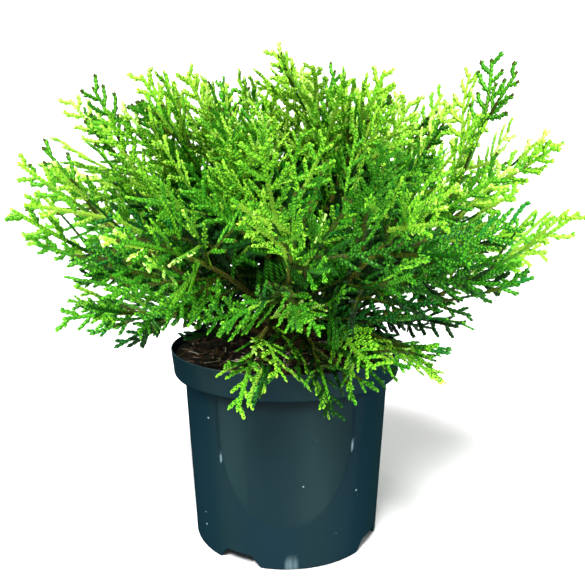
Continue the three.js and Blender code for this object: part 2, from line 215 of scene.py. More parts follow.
class NodeBench:
    """A new material and its node tree, with short ways to add and join nodes."""

    MIX_BELOW, MIX_ABOVE, MIX_RESULT = 6, 7, 2
    NOISE_SPAN = (0.3, 0.7)

    def __init__(self, name: str, roughness: float, specular: float = 0.5) -> None:
        """Starts a material with one principled shader.

        Args:
            name: The material's name.
            roughness: How rough it is.
            specular: How much it mirrors.
        """
        self.material = bpy.data.materials.new(name)
        self.material.use_nodes = True
        self.tree = self.material.node_tree
        self.shader = self.tree.nodes["Principled BSDF"]
        self.shader.inputs["Roughness"].default_value = roughness
        self.shader.inputs["Specular IOR Level"].default_value = specular

    def node(self, kind: str, **settings: object) -> bpy.types.Node:
        """Adds a node.

        Args:
            kind: Blender's name of the node type.
            settings: Its properties, or the values of its sockets by their names.

        Returns:
            The node.
        """
        made = self.tree.nodes.new(kind)
        for name, value in settings.items():
            socket = made.inputs.get(name.replace("_", " "))
            if socket is not None and not hasattr(made, name):
                socket.default_value = value
            else:
                setattr(made, name, value)
        return made

    def join(self, source: Socket, target: Socket) -> None:
        """Links one socket to another."""
        self.tree.links.new(source, target)

    def place(self, stretch: Triple = (1, 1, 1)) -> Socket:
        """The object's own coordinates, stretched along its axes.

        Args:
            stretch: The stretch along each axis.

        Returns:
            The coordinates.
        """
        mapping = self.node("ShaderNodeMapping")
        mapping.inputs["Scale"].default_value = stretch
        self.join(self.node("ShaderNodeTexCoord").outputs["Object"], mapping.inputs["Vector"])
        return mapping.outputs["Vector"]

    def noise(self, grain: Grain) -> Socket:
        """A noise pattern's value.

        Args:
            grain: The pattern's sizes.

        Returns:
            The value.
        """
        pattern = self.node("ShaderNodeTexNoise", Scale=grain.scale, Detail=grain.detail)
        self.join(self.place(grain.stretch), pattern.inputs["Vector"])
        return pattern.outputs["Fac"]

    def bands(self, source: Socket, places: Triple, screens: tuple[Screen, ...]) -> Socket:
        """A colour ramp over a value, with screen colours at places from 0 to 1."""
        stops = [(place, linear(*screen)) for place, screen in zip(places, screens, strict=True)]
        return self.ramp(source, stops)

    def ramp(self, source: Socket, stops: list[tuple[float, Colour]]) -> Socket:
        """A colour ramp over a value.

        Args:
            source: The value.
            stops: Pairs of a place from 0 to 1 and a linear colour.

        Returns:
            The ramp's colour.
        """
        ramp = self.node("ShaderNodeValToRGB")
        self.join(source, ramp.inputs["Fac"])
        elements = ramp.color_ramp.elements
        while len(elements) < len(stops):
            elements.new(0.5)
        for element, (place, colour) in zip(elements, stops, strict=True):
            element.position = place
            element.color = colour
        return ramp.outputs["Color"]

    def value(self, operation: str, first: Socket, second: float | Socket) -> Socket:
        """The result of a sum on a value and a number or a second value.

        Args:
            operation: Blender's name of the sum.
            first: The value.
            second: The number or the second value.

        Returns:
            The result.
        """
        made = self.node("ShaderNodeMath", operation=operation)
        self.join(first, made.inputs[0])
        if isinstance(second, float):
            made.inputs[1].default_value = second
        else:
            self.join(second, made.inputs[1])
        return made.outputs[0]

    def by_attribute(self, name: str, below: Socket, above: Socket | Colour) -> Socket:
        """A mix of two colours by a named value of the mesh, from 0 to 1."""
        return self.mix(self.attribute(name), below, above)

    def attribute(self, name: str) -> Socket:
        """A named value of the mesh's points."""
        return self.node("ShaderNodeAttribute", attribute_name=name).outputs["Fac"]

    def mix(self, share: Socket, below: Socket, above: Socket | Colour) -> Socket:
        """A mix of two colours, the second of which may be plain.

        Args:
            share: How much there is of the second.
            below: The first colour.
            above: The second colour.

        Returns:
            The mix.
        """
        made = self.node("ShaderNodeMix", data_type="RGBA")
        self.join(share, made.inputs["Factor"])
        self.join(below, made.inputs[self.MIX_BELOW])
        if isinstance(above, tuple):
            made.inputs[self.MIX_ABOVE].default_value = above
        else:
            self.join(above, made.inputs[self.MIX_ABOVE])
        return made.outputs[self.MIX_RESULT]

    def spread(self, source: Socket, span: Pair, ends: Pair) -> Socket:
        """A value that goes from end to end while another goes through a span.

        Args:
            source: The other value.
            span: The span that it goes through.
            ends: The two ends of the made value.

        Returns:
            The made value.
        """
        made = self.node("ShaderNodeMapRange")
        names = ("From Min", "From Max", "To Min", "To Max")
        for name, number in zip(names, (*span, *ends), strict=True):
            made.inputs[name].default_value = number
        self.join(source, made.inputs["Value"])
        return made.outputs["Result"]

    def vary_roughness(self, source: Socket, low: float, high: float) -> None:
        """Makes the roughness follow a value, from low to high."""
        roughness = self.spread(source, self.NOISE_SPAN, (low, high))
        self.join(roughness, self.shader.inputs["Roughness"])

    def bump(self, source: Socket, strength: float, depth: float) -> None:
        """Makes the surface's normal follow a value.

        Args:
            source: The value.
            strength: How strongly it is followed, from 0 to 1.
            depth: The relief's depth in millimetres.
        """
        bump = self.node("ShaderNodeBump", Strength=strength)
        bump.inputs["Distance"].default_value = depth * MM
        self.join(source, bump.inputs["Height"])
        self.join(bump.outputs["Normal"], self.shader.inputs["Normal"])


@dataclass(frozen=True)
class PotPlastic:
    """Satin injection-moulded plastic in dark petrol, with faint streaks that run up the wall."""

    name: str = "pot_plastic"
    deep: Screen = (16, 38, 47)
    flat: Screen = (17, 38, 43)
    body: Screen = (16, 38, 46)
    # Painted sheen: the two lighter tones stand in for reflections, and the streaks and the sheen
    # lobes round the wall move the colour towards them.
    sheen_and_streak: Screen = (20, 40, 44)
    painted_sheen: Screen = (27, 47, 50)
    # Painted shade: under the band, over the band's lowest edge and in a line beside the panels.
    shade: Screen = (6, 17, 21)
    # Painted highlight: the pale colour of the glints beside the panels, the reflection on the foot
    # and the bright line along the lip.
    painted_highlight: Screen = (150, 178, 186)
    dust: Screen = (150, 168, 170)
    wall_bands: Triple = (0.15, 0.45, 0.95)
    panel_bands: Triple = (0.15, 0.45, 0.85)
    streaks: Grain = Grain(230, 3, (1, 1, 0.03))
    streak_share: float = 0.36
    sheen_lobe_share: float = 0.64
    glint_streaks: Grain = Grain(620, 2, (1, 1, 0.02))
    glint_streak_strength: float = 1.7
    dust_scale: float = 90
    dust_size: float = 0.07
    dust_rarity: float = 0.6
    facing: float = 0.5
    facing_span: Pair = (0.05, 0.45)
    gloss: float = 0.05
    sheen: Grain = Grain(55, 3, (1, 1, 0.3))
    roughness: Pair = (0.3, 0.46)
    pores: Grain = Grain(2600)
    relief: Pair = (0.12, 0.06)

    def material(self) -> Material:
        """Builds the finish.

        Returns:
            The material.
        """
        bench = NodeBench(self.name, self.roughness[0])
        streaks = bench.value("MULTIPLY", bench.noise(self.streaks), self.streak_share)
        # Painted sheen: the lobes lighten the wall in broad bands round the pot and leave it
        # darkest at the front middle.
        sheen_lobes = bench.value("MULTIPLY", bench.attribute("sheen_lobe"), self.sheen_lobe_share)
        tone = bench.value("ADD", streaks, sheen_lobes)
        wall = bench.bands(tone, self.wall_bands, (self.deep, self.body, self.sheen_and_streak))
        panel = bench.bands(tone, self.panel_bands, (self.flat, self.sheen_and_streak, self.painted_sheen))
        colour = bench.by_attribute("panel", wall, panel)
        # Painted shade under the band and beside the panels.
        colour = bench.by_attribute("shade", colour, linear(*self.shade))
        # Painted highlights, broken into fine streaks.
        glint_streaks = bench.value("MULTIPLY", bench.noise(self.glint_streaks), self.glint_streak_strength)
        glint_streaks = bench.value("MULTIPLY", glint_streaks, bench.attribute("painted_highlight"))
        colour = bench.mix(glint_streaks, colour, linear(*self.painted_highlight))
        cells = bench.node("ShaderNodeTexVoronoi", Scale=self.dust_scale)
        bench.join(bench.place(), cells.inputs["Vector"])
        rare = bench.value("GREATER_THAN", cells.outputs["Color"], self.dust_rarity)
        small = bench.value("LESS_THAN", cells.outputs["Distance"], self.dust_size)
        colour = bench.mix(bench.value("MULTIPLY", rare, small), colour, linear(*self.dust))
        bench.join(colour, bench.shader.inputs["Base Color"])
        facing = bench.node("ShaderNodeLayerWeight", Blend=self.facing).outputs["Facing"]
        gloss = bench.spread(facing, self.facing_span, (self.gloss, 0.0))
        bench.join(gloss, bench.shader.inputs["Specular IOR Level"])
        bench.vary_roughness(bench.noise(self.sheen), *self.roughness)
        bench.bump(bench.noise(self.pores), *self.relief)
        return bench.material


@dataclass(frozen=True, kw_only=True)
class Finish:
    """An uneven gloss and a fine relief over a colour that each kind of finish makes itself.

    The relief's numbers are its strength from 0 to 1 and its depth in millimetres.
    """

    name: str
    specular: float
    sheen: Grain
    roughness: Pair
    pores: Grain
    relief: Pair

    def paint(self, bench: NodeBench) -> None:
        """Gives the shader its base colour."""
        raise NotImplementedError

    def material(self) -> Material:
        """Builds the finish.

        Returns:
            The material.
        """
        bench = NodeBench(self.name, self.roughness[0], self.specular)
        self.paint(bench)
        bench.vary_roughness(bench.noise(self.sheen), *self.roughness)
        bench.bump(bench.noise(self.pores), *self.relief)
        return bench.material


@dataclass(frozen=True, kw_only=True)
class PlainFinish(Finish):
    """A finish in one plain colour."""

    screen: Screen

    def paint(self, bench: NodeBench) -> None:
        """Gives the shader its base colour."""
        bench.shader.inputs["Base Color"].default_value = linear(*self.screen)


@dataclass(frozen=True, kw_only=True)
class BandedFinish(Finish):
    """A finish whose three colours follow a noise pattern."""

    screens: tuple[Screen, ...]
    bands: Triple
    pattern: Grain

    def paint(self, bench: NodeBench) -> None:
        """Gives the shader its base colour."""
        colour = bench.bands(bench.noise(self.pattern), self.bands, self.screens)
        bench.join(colour, bench.shader.inputs["Base Color"])


@dataclass(frozen=True, kw_only=True)
class LeafGreen(PlainFinish):
    """One plain green of the scale leaves, with the uneven gloss of a leaf."""

    specular: float = 0.13
    sheen: Grain = Grain(420)
    roughness: Pair = (0.38, 0.6)
    pores: Grain = Grain(1900)
    relief: Pair = (0.35, 0.2)


class Green(IntEnum):
    """The greens in the order of the foliage's materials, from the deepest to the palest."""

    NIGHT = 0
    DEEP = 1
    FOREST = 2
    MID = 3
    FRESH = 4
    BRIGHT = 5
    LIME = 6
    YELLOW = 7
    PALE = 8
    OLIVE = 9
    JADE = 10
    GOLD = 11


@dataclass(frozen=True)
class GreenTones:
    """A green's screen colour, and the greens of its painted shade on dark steps and painted
    highlight on lit faces.
    """

    screen: Screen
    shade: Green
    light: Green


GREENS = {
    Green.NIGHT: GreenTones((2, 20, 0), Green.NIGHT, Green.DEEP),
    Green.DEEP: GreenTones((6, 42, 0), Green.NIGHT, Green.FOREST),
    Green.FOREST: GreenTones((12, 68, 10), Green.DEEP, Green.JADE),
    Green.MID: GreenTones((20, 84, 4), Green.DEEP, Green.FRESH),
    Green.FRESH: GreenTones((58, 140, 22), Green.MID, Green.BRIGHT),
    Green.BRIGHT: GreenTones((98, 178, 36), Green.MID, Green.LIME),
    Green.LIME: GreenTones((142, 214, 46), Green.MID, Green.YELLOW),
    Green.YELLOW: GreenTones((178, 228, 72), Green.FRESH, Green.PALE),
    Green.PALE: GreenTones((210, 240, 136), Green.FRESH, Green.PALE),
    Green.OLIVE: GreenTones((66, 80, 14), Green.DEEP, Green.OLIVE),
    Green.JADE: GreenTones((34, 130, 42), Green.DEEP, Green.BRIGHT),
    Green.GOLD: GreenTones((140, 180, 52), Green.FRESH, Green.GOLD),
}
# The greens of the painted shade and of the painted highlights, by green.
SHADES = np.array([GREENS[green].shade for green in Green], int)
LIGHTS = np.array([GREENS[green].light for green in Green], int)


@dataclass(frozen=True, kw_only=True)
class Bark(BandedFinish):
    """Thin fibrous bark, grey brown with orange brown strips."""

    name: str = "fibrous_bark"
    screens: tuple[Screen, ...] = ((38, 30, 17), (74, 62, 32), (108, 92, 50))
    bands: Triple = (0.32, 0.5, 0.72)
    pattern: Grain = Grain(420, 5, (1, 1, 0.22))
    specular: float = 0.3
    sheen: Grain = Grain(300)
    roughness: Pair = (0.7, 0.9)
    pores: Grain = Grain(420, 5, (1, 1, 0.22))
    relief: Pair = (0.7, 0.5)


@dataclass(frozen=True, kw_only=True)
class Peat(BandedFinish):
    """Moist dark peat, almost black between its crumbs."""

    name: str = "moist_peat"
    screens: tuple[Screen, ...] = ((10, 8, 6), (28, 21, 15), (60, 46, 35))
    bands: Triple = (0.36, 0.54, 0.76)
    pattern: Grain = Grain(260, 6)
    specular: float = 0.3
    sheen: Grain = Grain(500)
    roughness: Pair = (0.6, 0.95)
    pores: Grain = Grain(900, 5)
    relief: Pair = (0.9, 1.2)


@dataclass(frozen=True, kw_only=True)
class LitterTint(PlainFinish):
    """One plain colour of the bark fibres and crumbs on the soil, with a dull uneven face."""

    specular: float = 0.35
    sheen: Grain = Grain(700)
    roughness: Pair = (0.55, 0.9)
    pores: Grain = Grain(1400, 3)
    relief: Pair = (0.5, 0.4)


LITTER_TINTS = [
    LitterTint(name="litter_black", screen=(24, 18, 13)),
    LitterTint(name="litter_umber", screen=(58, 41, 30)),
    LitterTint(name="litter_russet", screen=(104, 74, 52)),
    LitterTint(name="litter_tan", screen=(156, 126, 98)),
    LitterTint(name="litter_straw", screen=(222, 206, 184)),
]


@dataclass(frozen=True)
class Tier:
    """One tier of leaders: where they sit on the stem, how they set out, and their directions."""

    name: str
    seat: float
    seat_radius: float
    lift: float
    bend: float
    turn: float
    leaders: tuple[Row, ...]


TIERS = (
    Tier("top", 24, 6.2, 4, 0.45, 28, (
        (5, -12, 237, 50, 0.6), (60, 90, 216), (115, 90, 208), (164, 84, 224),
        (190, 112, 216), (243, 100, 184), (330, 84, 216))),
    Tier("side", 16, 9.2, -4, 0.45, 24, (
        (3, 217, 168), (28, 158, 212), (72, 178, 150), (124, 184, 150), (174, 178, 202),
        (195, 202, 150), (240, 192, 104, 46), (272, 190, 132), (300, 186, 138),
        (354, 157, 228, 30, 0.68))),
    Tier("low", 7.5, 10.4, 16, 0.5, 24, (
        (12, 238, 72), (48, 205, 66), (88, 198, 48), (130, 208, 60), (163, 206, 66),
        (180, 224, 114, 22), (205, 178, 38), (256, 130, -14, 50), (284, 134, -16, 50),
        (317, 150, -3, 36), (348, 224, 114, 12))),
)
STEEPEST_START = 82.0


@dataclass(frozen=True)
class Habit:
    """How one leader's growth differs from the rest: its painted light and shade, hang, end fan and
    own forks.

    The flat turn is the direction round the leader that its end fan lies in, in degrees. A fork is
    where it leaves as a share of the leader, the turn round the leader and the angle from it in
    degrees, its length as a share of what is left of the leader, its fan and its flat turn.
    """

    light: float = 0
    hang: float = 24
    fan: float = 0.46
    flat_turn: float = 90
    forks: tuple[tuple[float, float, float, float, float, float], ...] = ()


HABITS = {
    "top_4": Habit(forks=((0.74, 160, 34, 1.0, 0.4, 90),)),
    "top_5": Habit(forks=((0.74, -90, 30, 0.8, 0.4, 40),)),
    "top_7": Habit(light=-0.18),
    "side_1": Habit(light=-0.14),
    "side_5": Habit(light=-0.1, forks=((0.64, -85, 28, 0.9, 0.3, 0),)),
    "side_7": Habit(light=0.12),
    "side_8": Habit(flat_turn=55),
    "side_9": Habit(light=-0.08),
    "side_10": Habit(light=-0.28),
    "low_6": Habit(light=-0.16),
    "low_7": Habit(light=0.3, hang=30, forks=((0.34, -86, 84, 0.3, 0.3, 90),)),
    "low_8": Habit(light=0.95, fan=0.44, flat_turn=4),
    "low_9": Habit(light=0.3, fan=0.4, flat_turn=-8),
    "low_10": Habit(light=0.55, hang=2, fan=0.24, flat_turn=30),
    "low_11": Habit(light=-0.12),
}
# Painted light and shade on the front: x, z, reach and strength of each lighter or darker patch.
PATCHES = (
    (20, 262, 75, -0.16),
    (-106, 271, 28, -0.24), (-48, 211, 22, -0.12), (-127, 225, 20, -0.24), (76, 218, 26, -0.26),
    (107, 211, 24, -0.26), (58, 246, 20, -0.14), (150, 262, 30, -0.12), (-65, 312, 20, 0.14),
    (-16, 281, 18, 0.3), (-93, 246, 16, 0.4), (28, 285, 20, 0.24), (69, 292, 18, 0.18),
)
PATCH_DEPTH = 40.0


class Shoot:
    """A curved shoot that carries sprays, by distance along it."""

    SAMPLES = 200
    TURN_SPREAD = 60
    BRANCH_OUT, BRANCH_UP, BRANCH_ON = 0.18, 0.16, 0.2

    def __init__(self, knots: Array, across: Array, turn: float, dice: Dice) -> None:
        """Lays the shoot.

        Args:
            knots: The three knots of its curve.
            across: A level direction across it.
            turn: How far each spray is turned from half way round, in degrees.
            dice: Its source of numbers.
        """
        self.knots = knots
        self.across = across
        self.turn = turn
        self.dice = dice
        points = bezier(knots, np.linspace(0, 1, self.SAMPLES + 1))
        stretches = np.linalg.norm(np.diff(points, axis=0), axis=1)
        self.lengths = np.concatenate([[0], np.cumsum(stretches)])
        self.length = float(self.lengths[-1])
        self.first_turn = math.radians(self.TURN_SPREAD * (dice.draw() - 0.5))

    def frames(self, distances: Array) -> Frames:
        """Places, directions, sides and upper vectors at distances along the shoot.

        Args:
            distances: The distances from its root.

        Returns:
            A row of each for every distance.
        """
        shares = np.interp(distances, self.lengths, np.linspace(0, 1, self.SAMPLES + 1))
        places = bezier(self.knots, shares)
        along = bezier_direction(self.knots, shares)
        side = unit(self.across - (along @ self.across)[:, None] * along)
        return places, along, side, np.cross(along, side)

    def branch(self, share: float, turn: float, angle: float, length: float) -> "Shoot":
        """A side shoot.

        Args:
            share: Where it leaves, as a share of this shoot.
            turn: The direction round this shoot that it leaves in, in radians.
            angle: How far it leaves from this shoot's direction, in radians.
            length: Its length.

        Returns:
            The side shoot.
        """
        frames = self.frames(np.array([share * self.length]))
        place, along, side, upper = (rows[0] for rows in frames)
        spread = math.cos(turn) * side + math.sin(turn) * upper
        heading = math.cos(angle) * along + math.sin(angle) * spread
        outward = unit(place * np.array([1, 1, 0]) + TINY)
        bent = heading + self.BRANCH_OUT * outward + self.BRANCH_UP * UP + self.BRANCH_ON * along
        end = place + unit(bent) * length
        knots = np.array([place, place + heading * 0.5 * length, end])
        return Shoot(knots, unit(np.cross(UP, heading)), self.turn, self.dice)


class Leader(Shoot):
    """One leader: a shoot that rises out of the stem."""

    SEEDS = (1000, 37, 5)

    def __init__(
        self, tier: Tier, number: int, seat_angle: float, sizes: Row, soil_top: float
    ) -> None:
        """Lays the curve.

        Args:
            tier: The leader's tier.
            number: Its number in the tier, from 1.
            seat_angle: The direction of its seat on the stem, in degrees.
            sizes: Azimuth, reach and rise, and where given the first slope and the share of bend.
            soil_top: The height of the soil under the stem.
        """
        azimuth, reach, rise = sizes[:3]
        bend = sizes[4] if len(sizes) > 4 else tier.bend
        turn, seat = math.radians(azimuth), math.radians(seat_angle)
        heading = np.array([math.cos(turn), math.sin(turn), 0.0])
        outward = np.array([math.cos(seat), math.sin(seat), 0.0])
        start = outward * tier.seat_radius + UP * (soil_top + tier.seat)
        tip = heading * reach + UP * (soil_top + rise)
        chord = tip - start
        slope = math.degrees(math.atan2(chord[2], chord @ heading))
        pitch = math.radians(sizes[3] if len(sizes) > 3 else min(slope + tier.lift, STEEPEST_START))
        first = heading * math.cos(pitch) + UP * math.sin(pitch)
        knots = np.array([start, start + first * bend * np.linalg.norm(chord), tip])
        by_tier, by_number, rest = self.SEEDS
        dice = Dice(by_tier * TIERS.index(tier) + by_number * number + rest)
        super().__init__(knots, np.cross(UP, heading), tier.turn, dice)
        self.name = f"{tier.name}_{number}"
        self.tip = tip
        self.habit = HABITS.get(self.name, Habit())


def bezier(knots: Array, shares: Array) -> Array:
    """Points of the quadratic curve through three knots, at shares from 0 to 1."""
    t = shares[:, None]
    return (1 - t) ** 2 * knots[0] + 2 * t * (1 - t) * knots[1] + t**2 * knots[2]


def bezier_direction(knots: Array, shares: Array) -> Array:
    """Unit directions of that curve."""
    t = shares[:, None]
    return unit((1 - t) * (knots[1] - knots[0]) + t * (knots[2] - knots[1]))


def make_leaders(soil_top: float) -> list[Leader]:
    """All leaders, with each tier's seats spread evenly round the stem in the order of azimuth.

    Args:
        soil_top: The height of the soil under the stem.

    Returns:
        The leaders, tier by tier.
    """
    made = []
    for tier in TIERS:
        step = 360 / len(tier.leaders)
        first = sum(sizes[0] - k * step for k, sizes in enumerate(tier.leaders)) / len(tier.leaders)
        for k, sizes in enumerate(tier.leaders):
            made.append(Leader(tier, k + 1, first + k * step, sizes, soil_top))
    return made


@dataclass(frozen=True)
class CordShape:
    """Sizes of one kind of cord: a flat twig that is wrapped in overlapping scale leaves."""

    half_width: float
    half_height: float
    pitch: float
    sides: int = 4
    groove: float = 0.7
    sweep: float = 0.36


class CordMaker:
    """Makes cords as closed tubes whose rings bulge by turns, so that ridges braid round them."""

    # A leaf's face, its dark step in painted shade, and its face with a painted highlight.
    FACE, STEP, LIT = 0, 1, 2

    def __init__(self) -> None:
        """Starts with no patterns kept."""
        self.patterns: dict[tuple[int, int], tuple[Array, ...]] = {}

    def pattern(self, rings: int, sides: int) -> tuple[Array, ...]:
        """The triangles of a cord, and for each the gap it lies in and its part in a leaf.

        The parts are a leaf's face, the dark step behind it, which is painted shade, and a face
        with a painted highlight. The highlighted side changes over from each gap to the next.

        Args:
            rings: How many rings the cord has.
            sides: How many points each ring has.

        Returns:
            The triangles, their gaps and their parts.
        """
        key = (rings, sides)
        if key not in self.patterns:
            triangles, gaps, parts = [], [], []
            for k in range(rings - 1):
                for s in range(sides):
                    a, b = k * sides + s, k * sides + (s + 1) % sides
                    c, d = b + sides, a + sides
                    triangles += [(a, b, c), (a, c, d)] if (s + k) % 2 else [(a, b, d), (b, c, d)]
                    near_side = s * 4 // sides in (0, 3)
                    parts += [self.LIT if near_side == (k % 2 == 0) else self.FACE, self.STEP]
                    gaps += [k, k]
            tip, last = rings * sides, (rings - 1) * sides
            ends = [(last + s, last + (s + 1) % sides, tip) for s in range(sides)]
            feet = [(0, s + 1, s) for s in range(1, sides - 1)]
            triangles += ends + feet
            gaps += [rings - 1] * len(ends) + [0] * len(feet)
            parts += [self.FACE] * len(ends + feet)
            self.patterns[key] = (np.array(triangles), np.array(gaps), np.array(parts))
        return self.patterns[key]

    def add(
        self, target: MeshBin, shape: CordShape, places: Array, along: Array,
        across: Array, normal: Array, taper: Array, tones: Array,
        shades: Array, lights: Array,
    ) -> None:
        """Adds one cord.

        Args:
            target: The bin that takes it.
            shape: Its sizes.
            places: Centres of its rings and, last, its tip.
            along: Directions there.
            across: Directions across the flat of the cord there.
            normal: Directions square to the flat there.
            taper: The rings' sizes as shares of the full size.
            tones: The green of each gap between rings, and of the tip.
            shades: The green of the painted shade on the dark steps in each gap.
            lights: The green of the painted highlights on the lit faces in each gap.
        """
        rings, sides = len(places) - 1, shape.sides
        turn = ring_turns(sides)
        parity = (np.arange(rings)[:, None] + np.arange(sides)[None, :]) % 2
        bulge = np.where(parity == 1, 1.0, shape.groove)
        advance = np.where(parity == 1, shape.sweep * shape.pitch, 0.0)
        width = shape.half_width * bulge * taper[:, None] * np.cos(turn)
        height = shape.half_height * bulge * taper[:, None] * np.sin(turn)
        points = (
            places[:rings, None]
            + width[..., None] * across[:rings, None]
            + height[..., None] * normal[:rings, None]
            + advance[..., None] * along[:rings, None]
        ).reshape(-1, 3)
        triangles, gaps, parts = self.pattern(rings, sides)
        dealt = np.stack([tones, shades, lights])[parts, gaps]
        target.add(np.vstack([points, places[-1:]]), triangles, dealt)


@dataclass
class Crown:
    """The room that the shrub's foliage keeps to, clear of the pot and the stem."""

    soil_top: float
    rim_radius: float
    pot_height: float
    middle: float = 62
    height: float = 163
    reach: float = 206
    front_reach: float = 186
    right_reach: float = 197
    power: float = 2.6
    own_room: float = 28
    fork_room: float = 48
    tip_room: float = 74
    underside_start: float = 112
    underside_slope: float = 0.7
    underside_wave: float = 20
    stem_radius: float = 17
    stem_height: float = 26
    clearance: float = 2.5
    clearing: Pair = (213, 246)
    clearing_from: float = 30
    clearing_height: float = 2
    clearing_slope: float = 0.25
    clearing_drop: float = 4
    open_share: float = 0.8
    open_height: float = 150
    open_fade: float = 40
    open_from: float = 0.38
    open_span: float = 0.4
    deep_share: float = 0.6
    deep_from: float = 58

    def outwardness(self, points: Array) -> Array:
        """How far out points are in the crown: 0 in its middle and 1 at its surface.

        Args:
            points: The points, a row each.

        Returns:
            A number for each point.
        """
        x = points[:, 0] * np.where(points[:, 0] > 0, self.reach / self.right_reach, 1)
        y = points[:, 1] * np.where(points[:, 1] < 0, self.reach / self.front_reach, 1)
        away = np.hypot(x, y) / self.reach
        rise = np.abs(points[:, 2] - self.soil_top - self.middle) / self.height
        return (away**self.power + rise**self.power) ** (1 / self.power)

    def holds(self, points: Array, leader: Leader, room: float = 0, limit: float = 1) -> bool:
        """Whether points keep to the crown, or beyond it to the room round their leader's tip.

        Args:
            points: The points, a row each.
            leader: Their leader.
            room: How near the leader's tip they may pass the crown.
            limit: How far out the crown itself goes.

        Returns:
            Whether all of them do.
        """
        away = np.hypot(points[:, 0], points[:, 1])
        z = points[:, 2]
        by_rim = (away < self.rim_radius + self.clearance) & (z < self.pot_height + self.clearance)
        by_stem = (away < self.stem_radius) & (z < self.soil_top + self.stem_height)
        far = np.linalg.norm(points - leader.tip, axis=1) > max(room, self.own_room)
        beyond = (self.outwardness(points) > limit) & far
        sloped = np.maximum(0, away - self.underside_start)
        underside = self.soil_top + self.underside_slope * sloped
        underside += self.underside_wave * (1 - points[:, 0] / np.maximum(away, 1)) / 2
        below = z < np.minimum(underside, leader.tip[2] - leader.habit.hang)
        around = np.degrees(np.arctan2(points[:, 1], points[:, 0])) % 360
        cleared = (around > self.clearing[0]) & (around < self.clearing[1])
        cleared &= away > self.clearing_from
        cleared &= z < self.soil_top + self.clearing_height - self.clearing_slope * points[:, 1]
        cleared &= z > self.pot_height - self.clearing_drop
        return not (by_rim | by_stem | beyond | below | cleared).any()

    def lowness(self, point: Array) -> float:
        """1 for a place below the crown's dense top, and 0 within it."""
        above = point[2] - self.soil_top - self.open_height
        return 1 - float(smooth_step(above / self.open_fade))

    def sparseness(self, point: Array) -> float:
        """How likely a side spray is left out at a place, so that sky shows at the sides."""
        sideways = smooth_step((abs(point[0]) / self.reach - self.open_from) / self.open_span)
        return float(self.open_share * sideways * self.lowness(point))

    def hides(self, point: Array) -> bool:
        """Whether a place is so deep in the crown that only its mass shows from outside."""
        deep = self.outwardness(point[None])[0] < self.deep_share
        return deep and point[2] > self.soil_top + self.deep_from


@dataclass
class SprayRule:
    """How sprays leave a leader, and how pinnae and pinnules leave them.

    A pair is the range of a draw, or a start and how much it grows or tapers along the line. The
    pairs of places are where the first one stands and how much longer than their count the line
    is, in gaps. Angles are in degrees.
    """

    spacing: float = 15
    shoot_shares: Row = (0.3, 0.42, 0.56, 0.68)
    shoot_scales: Row = (1, 0.9, 0.8, 0.7, 0.6, 0.5)
    shoot_angle: Pair = (26, 44)
    shoot_turn: float = 90
    shoot_length: Pair = (0.8, 1.0)
    shoot_tip: float = 0.4
    shoot_start: float = 0.15
    outer_from: float = 0.86
    open_from: float = 0.78
    open_span: float = 0.3
    open_gap: float = 1.3
    length: float = 104
    length_spread: Pair = (0.8, 1.12)
    first_place: float = 0.35
    jitter: float = 12
    taper: float = 0.3
    angle_low: float = 62
    angle_high: float = 40
    droop: float = 0.16
    droop_spread: Pair = (0.4, 1.8)
    forward: float = 0.45
    facing: float = 0.6
    least_across: float = 0.2
    scales: Row = (1, 0.88, 0.76, 0.66, 0.56, 0.46, 0.36)
    pinna_gap: float = 6.2
    pinna_places: Pair = (0.9, 0.6)
    pinna_share: float = 0.4
    pinna_spread: Pair = (0.72, 1.15)
    pinna_start: Pair = (0.62, 1.6)
    pinna_angle: float = 47
    pinna_sway: float = 7
    pinna_tilt: float = 9
    pinna_bend: float = 0.3
    pinna_droop: float = 0.14
    pinna_taper: float = 0.62
    pinna_limit: float = 1.1
    pinnule_gap: float = 3.1
    pinnule_places: Pair = (0.8, 0.7)
    pinnule_room: float = 4
    pinnule_share: float = 0.25
    pinnule_taper: Pair = (1.05, 0.6)
    pinnule_spread: Pair = (0.6, 1.2)
    pinnule_angle: float = 42
    pinnule_sway: float = 6
    pinnule_bend: float = 0.25
    pinnule_droop: float = 0.04
    pinnule_limit: float = 1.13
    pinnule_longest: float = 7.5
    pinnule_tip: float = 1.8
    least_pinna: float = 5
    least_held: float = 0.42
    least_pinnule: float = 2.8
    outer_pinnule: float = 4.4
    outer_spread: Pair = (0.8, 1.2)
    outer_angle: float = 58
    outer_bend: float = 0.65
    tip_length: float = 58
    tip_fan: float = 0.46
    tip_sway: float = 0.5
    tip_foot: float = 0.15
    fork_shares: Row = (0.7, 0.8)
    fork_scales: Row = (0.95, 0.8, 0.65)
    fork_angle: Pair = (34, 50)
    fork_turn: float = 35
    inner_start: float = 18
    inner_gap: float = 8
    inner_length: Pair = (30, 34)
    inner_spread: Pair = (0.7, 1.1)
    inner_heading: Pair = (0.5, 0.87)
    inner_bend: float = 0.4
    inner_droop: float = 0.25
    inner_fan: float = 0.5
    inner_fresh: float = 0.4


@dataclass
class Rib:
    """The line of a spray or a pinna: a curve, and the direction that its flat side lies along."""

    knots: Array
    flat: Array
    length: float

    @classmethod
    def leaving(
        cls, root: Array, direction: Array, forward: Array, flat: Array,
        length: float, bend: float, droop: float,
    ) -> "Rib":
        """A rib that leaves a root in a direction, and then bends forward and droops."""
        end = root + unit(direction + bend * forward - droop * UP) * length
        return cls(np.array([root, root + direction * length / 2, end]), flat, length)

    def stations(self, shares: Array) -> Frames:
        """Places, and directions along, across and square to the flat, at shares of the rib.

        Args:
            shares: The shares, from 0 to 1.

        Returns:
            A row of each for every share.
        """
        places = bezier(self.knots, shares)
        along = bezier_direction(self.knots, shares)
        across = unit(self.flat - (along @ self.flat)[:, None] * along)
        return places, along, across, np.cross(along, across)


